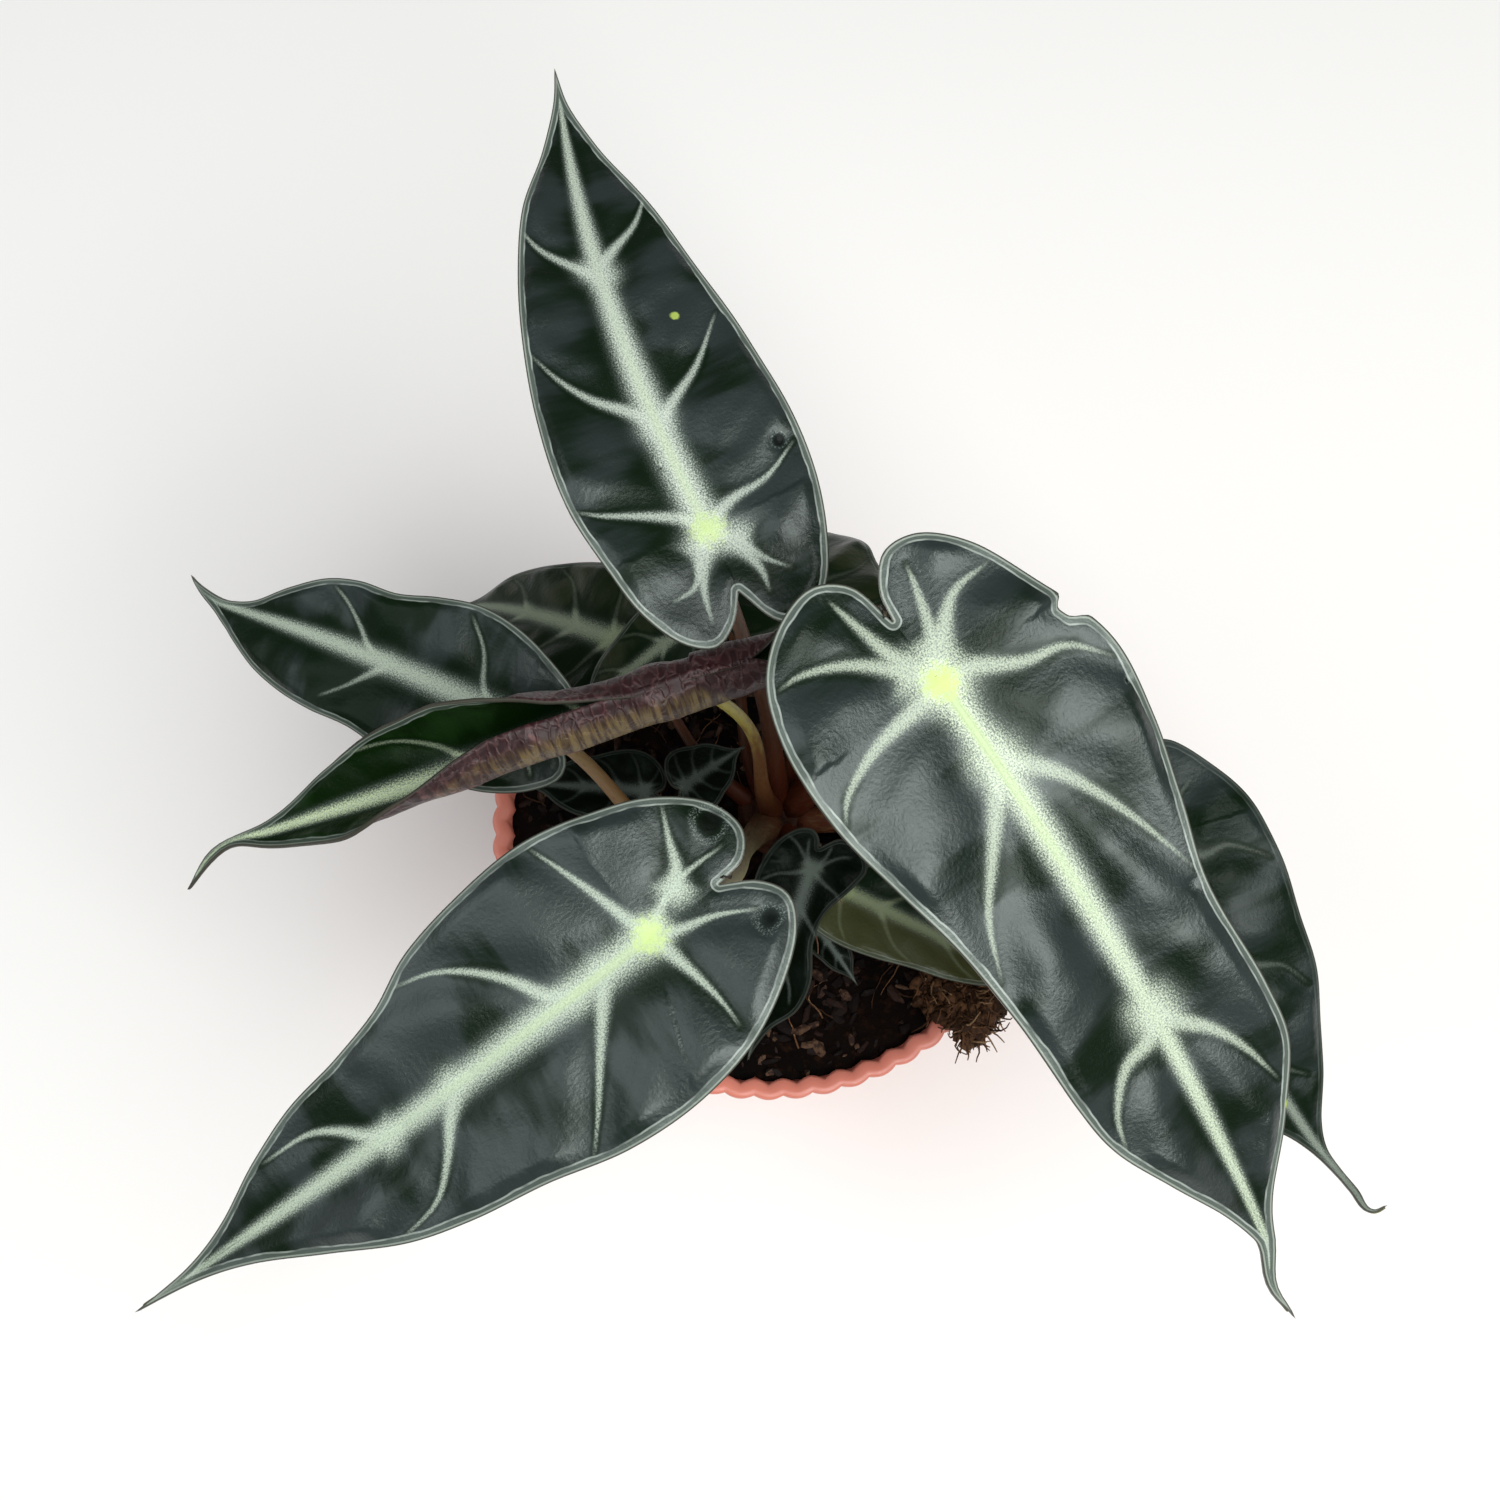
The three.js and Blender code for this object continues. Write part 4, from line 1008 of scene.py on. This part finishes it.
POT_HEIGHT, BASE_RADIUS, RIM_RADIUS, RIM_WIDTH, WALL, FLOOR = 100, 43, 60, 3.3, 1.3, 2
FLUTES, FLUTE_STEPS = 60, 12
FLUTE_DEPTH, FLUTE_ROUNDING, FLUTES_FROM, FLUTES_FULL = 0.85, 0.9, 6, 70
LIP_DEPTH, LIP_MIDDLE, LIP_FROM, LIP_FULL = 1.3, 58.2, 97, 99.2
WALL_FOOT, WALL_TOP, WALL_STEPS = 1.5, 95.5, 12
DRAIN_HOLES, DRAIN_RADIUS, DRAIN_CIRCLE, DRILL_LENGTH = 6, 3.5, 29, 12


def turned(name, profile, steps, wave=None):
    """A closed solid of revolution from a profile of radius and height that meets the axis."""
    rows = len(profile) - 1
    around, down = grid_shares(steps, rows)
    radius, height = np.array(profile)[np.rint(down * rows).astype(int)].T
    angle = pi * around
    if wave:
        radius = wave(radius, height, angle)
    places = np.stack([radius * np.cos(angle), radius * np.sin(angle), height], -1)
    bm = shaped_grid(name, steps, rows, places, {})
    bmesh.ops.recalc_face_normals(bm, faces=bm.faces)
    return bm


def pot_profile():
    outer = RIM_RADIUS - RIM_WIDTH
    rise = [
        (BASE_RADIUS + (outer - BASE_RADIUS) * share, WALL_FOOT + (WALL_TOP - WALL_FOOT) * share)
        for share in np.linspace(0, 1, WALL_STEPS)
    ]
    lip = [
        (57.1, 97), (58, 98), (59.6, 98.4), (RIM_RADIUS, 98.9), (59.95, 99.5), (59.5, POT_HEIGHT),
        (58.5, 99.95), (57.3, 99.5), (56.8, 98.9), (56.3, 97.5), (55.7, 96),
    ]
    inside = [(radius - WALL, height) for radius, height in reversed(rise[1:])]
    foot = [
        (0, 1.2), (20, 1.2), (34, 1.1), (37.5, 0.3), (38.5, 0), (BASE_RADIUS - 1.2, 0),
        (BASE_RADIUS - 0.3, 0.4),
    ]
    inner, floor_top = BASE_RADIUS - WALL, FLOOR + 0.6
    floor = [(inner - 1, FLOOR + 1.2), (inner - 3, floor_top), (34, floor_top), (0, floor_top)]
    return foot + rise + lip + inside + floor


def flute_radius(radius, height, angle):
    """Rounded ribs outside with sharp valleys; the rim's inner edge has sharp points at the ribs."""
    turn = FLUTES * angle / 2
    within = smoothstep(LIP_MIDDLE - radius, 0, 1.4) * smoothstep(height, LIP_FROM, LIP_FULL)
    valley = FLUTE_DEPTH * (1 - np.abs(np.cos(turn)) ** FLUTE_ROUNDING)
    valley = valley * smoothstep(height, FLUTES_FROM, FLUTES_FULL)
    bulge = LIP_DEPTH * np.abs(np.sin(turn)) ** FLUTE_ROUNDING
    waved = radius - valley * (1 - within) - bulge * within
    return np.where(radius < BASE_RADIUS - WALL - 0.5, radius, waved)


def drain_drill():
    """A round bar through the floor at each drain hole."""
    bm = bmesh.new()
    for i in range(DRAIN_HOLES):
        turn = Matrix.Rotation(i * tau / DRAIN_HOLES, 4, "Z")
        bmesh.ops.create_cone(
            bm, cap_ends=True, segments=32, radius1=DRAIN_RADIUS * MM, radius2=DRAIN_RADIUS * MM,
            depth=DRILL_LENGTH * MM, matrix=turn @ Matrix.Translation((DRAIN_CIRCLE * MM, 0, MM)),
        )
    return new_object("drill", bm, False)


def make_pot():
    bm = turned("nursery_pot", pot_profile(), FLUTES * FLUTE_STEPS, flute_radius)
    pot = new_piece("nursery_pot", bm, ["pot"], "pot")
    drill = drain_drill()
    cut = pot.modifiers.new("drain", "BOOLEAN")
    cut.operation = "DIFFERENCE"
    cut.solver = "EXACT"
    cut.object = drill
    view = bpy.context.evaluated_depsgraph_get()
    drilled = bpy.data.meshes.new_from_object(pot.evaluated_get(view))
    pot.modifiers.clear()
    pot.data = drilled
    bpy.data.objects.remove(drill)


# Soil and what lies on it

SOIL_EDGE, SOIL_TOP = 97, 97.5
SOIL_RADIUS, SOIL_RINGS, SOIL_SPOKES = 55.9, 70, 260
SOIL_BASE = [(0, FLOOR + 0.9), (BASE_RADIUS - 2.5, FLOOR + 1.2), (54.9, 93.5)]
LUMP_SIZE, LUMP_HEIGHT, CRUMB_SIZE, CRUMB_HEIGHT = 9, 1.1, 2.2, 0.55
CHIP_LENGTHS, CHIP_TILT, CHIP_CHAOS = (0.8, 1.1, 1.5, 2.0, 2.6), 0.5, 0.22
STRAND_SIDES, STRAND_BEND = 5, 0.35
CHIPS, STRANDS, TUFT_BITS, BATCH = 1400, 140, 360, 20


def soil_height(x, y):
    """Height of the crumbly surface at a place in millimetres."""
    radius = (x * x + y * y) ** 0.5
    level = SOIL_TOP - (SOIL_TOP - SOIL_EDGE) * float(smoothstep(radius, SOIL_RADIUS - 9, SOIL_RADIUS))
    lumps = noise.fractal(Vector((x / LUMP_SIZE, y / LUMP_SIZE, 3)), 1, 2, 4)
    crumbs = noise.noise(Vector((x / CRUMB_SIZE, y / CRUMB_SIZE, 7)))
    return level + LUMP_HEIGHT * lumps + CRUMB_HEIGHT * crumbs


def make_soil():
    top = [(radius, SOIL_TOP) for radius in np.linspace(SOIL_RADIUS, 0, SOIL_RINGS)]
    bm = turned("potting_soil", SOIL_BASE + top, SOIL_SPOKES)
    for vertex in bm.verts:
        if vertex.co.z > (SOIL_EDGE - 1) * MM:
            vertex.co.z = soil_height(vertex.co.x / MM, vertex.co.y / MM) * MM
    new_piece("potting_soil", bm, ["soil"], "soil")


def add_chip(bm, rng, place, size, tone):
    """A rough lump of a chip, turned and tilted at random."""
    turn = Matrix.Rotation(rng.uniform(0, tau), 4, "Z")
    for axis in "XY":
        turn = turn @ Matrix.Rotation(rng.uniform(-CHIP_TILT, CHIP_TILT), 4, axis)
    stretch = Matrix.Diagonal((*(part * MM for part in size), 1))
    matrix = Matrix.Translation([part * MM for part in place]) @ turn @ stretch
    made = bmesh.ops.create_icosphere(bm, subdivisions=1, radius=1, matrix=matrix)["verts"]
    shade = bm.verts.layers.float["tone"]
    for vertex in made:
        vertex.co += Vector([rng.uniform(-CHIP_CHAOS, CHIP_CHAOS) * size[1] * MM for _ in range(3)])
        vertex[shade] = tone


def strew(count, add_one):
    """Many small shapes in one mesh, made in batches since each operator walks its whole mesh."""
    bm = layered_bmesh()
    for _ in range(count // BATCH):
        part = layered_bmesh()
        for _ in range(BATCH):
            add_one(part)
        mesh = bpy.data.meshes.new("batch")
        part.to_mesh(mesh)
        part.free()
        bm.from_mesh(mesh)
        bpy.data.meshes.remove(mesh)
    bmesh.ops.recalc_face_normals(bm, faces=bm.faces)
    return bm


def make_chips():
    """Bark chips strewn over the soil, dark ones thick and reddish ones thin."""
    rng = random.Random(11)

    def add_one(bm):
        length = rng.choice(CHIP_LENGTHS)
        angle, radius = rng.uniform(0, tau), (SOIL_RADIUS - length) * rng.random() ** 0.5
        x, y = radius * cos(angle), radius * sin(angle)
        size = (length, length * rng.uniform(0.25, 0.6), length * rng.uniform(0.12, 0.35))
        add_chip(bm, rng, (x, y, soil_height(x, y) + 0.4 * size[2]), size, rng.random() ** 1.6)

    new_piece("bark_chips", strew(CHIPS, add_one), ["bark_chips"], smooth=False)


def wander(rng, start, heading, length, steps, droop=0.0, curl=0.5):
    """A loose strand that bends at random from its start."""
    point = Vector(start)
    line = [point.copy()]
    direction = Vector(heading).normalized()
    for _ in range(steps):
        bend = Vector([rng.gauss(0, curl) for _ in range(3)]) * STRAND_BEND
        direction = (direction + bend + Vector((0, 0, -droop))).normalized()
        point = point + direction * length / steps
        line.append(point.copy())
    return np.array([tuple(place) for place in line])


def make_coir():
    """Fine root and coir strands that lie on the soil."""
    rng = random.Random(23)

    def add_one(bm):
        angle, radius = rng.uniform(0, tau), (SOIL_RADIUS - 6) * rng.random() ** 0.5
        x, y = radius * cos(angle), radius * sin(angle)
        heading = (cos(angle * 3), sin(angle * 3), 0)
        line = wander(rng, (x, y, 0), heading, rng.uniform(6, 16), 9, curl=0.6)
        line[:, 2] = [soil_height(*place[:2]) + rng.uniform(0.1, 0.6) for place in line]
        inside = np.hypot(line[:, 0], line[:, 1]) < SOIL_RADIUS - 0.5
        if inside.all():
            add_tube(bm, line, np.linspace(0.22, 0.09, len(line)), STRAND_SIDES, rng.random())

    new_piece("coir_strands", strew(STRANDS, add_one), ["coir_fibre"])


TUFT_ANGLE, TUFT_WIDTH, TUFT_STEPS = radians(-43), 15, 40
TUFT_LINE = [(46, 99.3), (51, 100.6), (56, 102.4), (60.5, 102.2), (63.6, 99), (63.8, 94)]
TUFT_PATH = smooth_line(TUFT_LINE, TUFT_STEPS + 1)


def tuft_place(share, aside):
    """A place on the tuft by its share of the way over the rim and its distance to the side."""
    radius, height = TUFT_PATH[round(share * TUFT_STEPS)]
    outward = Vector((cos(TUFT_ANGLE), sin(TUFT_ANGLE), 0))
    across = Vector((-sin(TUFT_ANGLE), cos(TUFT_ANGLE), 0))
    return outward * radius + across * aside + Vector((0, 0, height))


def make_tuft():
    """Moss and root fibre matted over the rim, with strands that hang outside it."""
    rng = random.Random(5)

    def somewhere(share):
        width = TUFT_WIDTH / 2 * (1 - (2 * share - 1) ** 4) ** 0.5
        return tuft_place(share, rng.uniform(-width, width))

    def add_one(bm):
        share = rng.random()
        start = somewhere(share)
        start.z += rng.uniform(-1.8, 0.2)
        ahead = tuft_place(min(share + 0.1, 1), 0) - tuft_place(share, 0)
        heading = ahead.normalized() + Vector([rng.gauss(0, 0.8) for _ in range(3)])
        line = wander(rng, start, heading, rng.uniform(2.5, 8), 6, 0.14 if share > 0.6 else 0, 0.95)
        add_tube(bm, line, np.linspace(0.3, 0.12, len(line)), STRAND_SIDES, rng.random() ** 1.3)
        place = somewhere(rng.random() ** 0.8)
        place.z -= rng.uniform(0.2, 1.8)
        length = rng.uniform(0.8, 2.6)
        add_chip(bm, rng, place, (length, 0.6 * length, 0.45 * length), rng.random() * 0.6)

    new_piece("moss_and_fibre", strew(TUFT_BITS, add_one), ["coir_fibre"], "moss_tuft")


# Crowns and their dry sheaths

CROWN_SPOKES, CROWN_FOOT, SCAR_HEIGHT, CROWN_CHAOS = 64, 1.5, 0.035, 0.07


def make_crown(name, crown):
    """A short scarred stem, ringed where old leaves stood."""
    x, y, z = crown["at"]
    radius = crown["radius"]
    low = SOIL_TOP - CROWN_FOOT - z
    foot = (radius**2 - low**2) ** 0.5
    profile = [(0, low), (foot, low)]
    for angle in np.linspace(0, 88, 22):
        ring = 1 + SCAR_HEIGHT * sin(radians(angle) * 14)
        profile.append((radius * ring * cos(radians(angle)), radius * ring * sin(radians(angle))))
    profile.append((0, radius))
    bm = turned("stem_" + name, profile, CROWN_SPOKES)
    shade = bm.verts.layers.float.new("tone")
    for vertex in bm.verts:
        rough = noise.noise(vertex.co / MM * 0.45 + Vector((x, y, 0)))
        vertex[shade] = 0.5 + 0.5 * rough
        vertex.co *= 1 + CROWN_CHAOS * rough
        vertex.co += Vector((x, y, z)) * MM
    new_piece("stem_" + name, bm, ["crown_bark"], "crown_" + name)


SHEATH_SIDE = [(1, 0), (0.7, 0.55), (0.35, 0.95), (0.1, 1), (0.02, 0.6), (0, 0)]
SHEATH_THICKNESS, SHEATH_ROWS, SHEATH_COLUMNS, FRAY, FRAY_TURN = 0.3, 60, 16, 0.35, 1.3
SHEATHS = {
    "rear": {
        "at": (9.3, 8.5, 98.2), "heading": 46, "pitch": 80, "droop": -6, "length": 24,
        "half": 2.5, "curl": 35, "fold": 0,
    },
    "side": {
        "at": (-7.9, -3.3, 98.2), "heading": 204, "pitch": 78, "droop": -8, "length": 16,
        "half": 3.4, "curl": 40, "fold": 0,
    },
}


def make_sheath(name, values):
    """A dry scale that stands beside a stem, made as a narrow leaf without veins and frayed."""
    side = [(along * values["length"], across * values["half"]) for along, across in SHEATH_SIDE]
    leaf = fill_in({**values, "left": side, "right": side, "left_veins": [], "right_veins": []})
    places, attributes = leaf_places(leaf, SHEATH_ROWS, SHEATH_COLUMNS, len(name))
    along, across, _ = attributes["flat"].T
    phase = np.random.default_rng(len(name)).uniform(0, tau)
    places[:, 0] += FRAY * np.sin(along * FRAY_TURN + phase) * np.sign(across)
    bm = shaped_grid(name, SHEATH_COLUMNS, SHEATH_ROWS, places, attributes)
    thicken(new_piece("scale_" + name, bm, ["sheath"], "sheath_" + name), SHEATH_THICKNESS)


# Making

for seed, (name, values) in enumerate(LEAVES.items()):
    leaf = fill_in(values)
    make_blade(name, leaf, seed)
    make_petiole(name, leaf)
    make_ribs(name, leaf)

make_pot()
make_soil()
make_chips()
make_coir()
make_tuft()
for name, crown in CROWNS.items():
    make_crown(name, crown)
for name, values in SHEATHS.items():
    make_sheath(name, values)


# Floor, light and camera, in metres and degrees

FLOOR_HALF, FLOOR_COLOUR = 3, (0.86, 0.86, 0.85, 1)
LAMPS = {
    "front_panel": {
        "azimuth": -45, "from_zenith": 27, "distance": 1.2, "size": 1.0, "watts": 22,
        "colour": (1.0, 0.99, 0.97),
    },
    "side_panel": {
        "azimuth": 180, "from_zenith": 45, "distance": 1.1, "size": 0.8, "watts": 4.4,
        "colour": (0.95, 0.98, 1.0),
    },
}
LAMP_TARGET = Vector((0, 0, 0.15))
SURROUND_COLOUR, SURROUND_STRENGTH = (0.96, 0.98, 1.0, 1), 0.09
CAMERA_PLACE, CAMERA_LEAN, LENS, SENSOR = (-0.00391, -0.0922, 0.50291), 15, 45.6, 36


def make_floor():
    bm = bmesh.new()
    bmesh.ops.create_grid(bm, x_segments=1, y_segments=1, size=FLOOR_HALF)
    floor = new_object("floor", bm)
    pale = Finish("pale_floor", Base_Color=FLOOR_COLOUR, Roughness=0.9, Specular_IOR_Level=0.1)
    floor.data.materials.append(pale.material)


def add_softbox(name, azimuth, from_zenith, distance, size, watts, colour):
    """A square lamp that faces the plant from an azimuth and an angle from straight above."""
    data = bpy.data.lights.new(name, "AREA")
    data.size = size
    data.energy = watts
    data.color = colour
    light = bpy.data.objects.new(name, data)
    turn, lean = radians(azimuth), radians(from_zenith)
    outward = Vector((cos(turn) * sin(lean), sin(turn) * sin(lean), cos(lean)))
    light.location = LAMP_TARGET + distance * outward
    light.rotation_euler = outward.to_track_quat("Z", "Y").to_euler()
    bpy.context.scene.collection.objects.link(light)


def set_surround():
    world = bpy.data.worlds.new("studio")
    world.use_nodes = True
    background = world.node_tree.nodes["Background"]
    background.inputs["Color"].default_value = SURROUND_COLOUR
    background.inputs["Strength"].default_value = SURROUND_STRENGTH
    bpy.context.scene.world = world


def add_camera():
    data = bpy.data.cameras.new("camera")
    data.sensor_width = SENSOR
    data.lens = LENS
    camera = bpy.data.objects.new("camera", data)
    camera.location = CAMERA_PLACE
    camera.rotation_euler = (radians(CAMERA_LEAN), 0, 0)
    bpy.context.scene.collection.objects.link(camera)
    bpy.context.scene.camera = camera


make_floor()
for name, values in LAMPS.items():
    add_softbox(name, **values)
set_surround()
add_camera()
bpy.context.scene.view_settings.view_transform = "Standard"
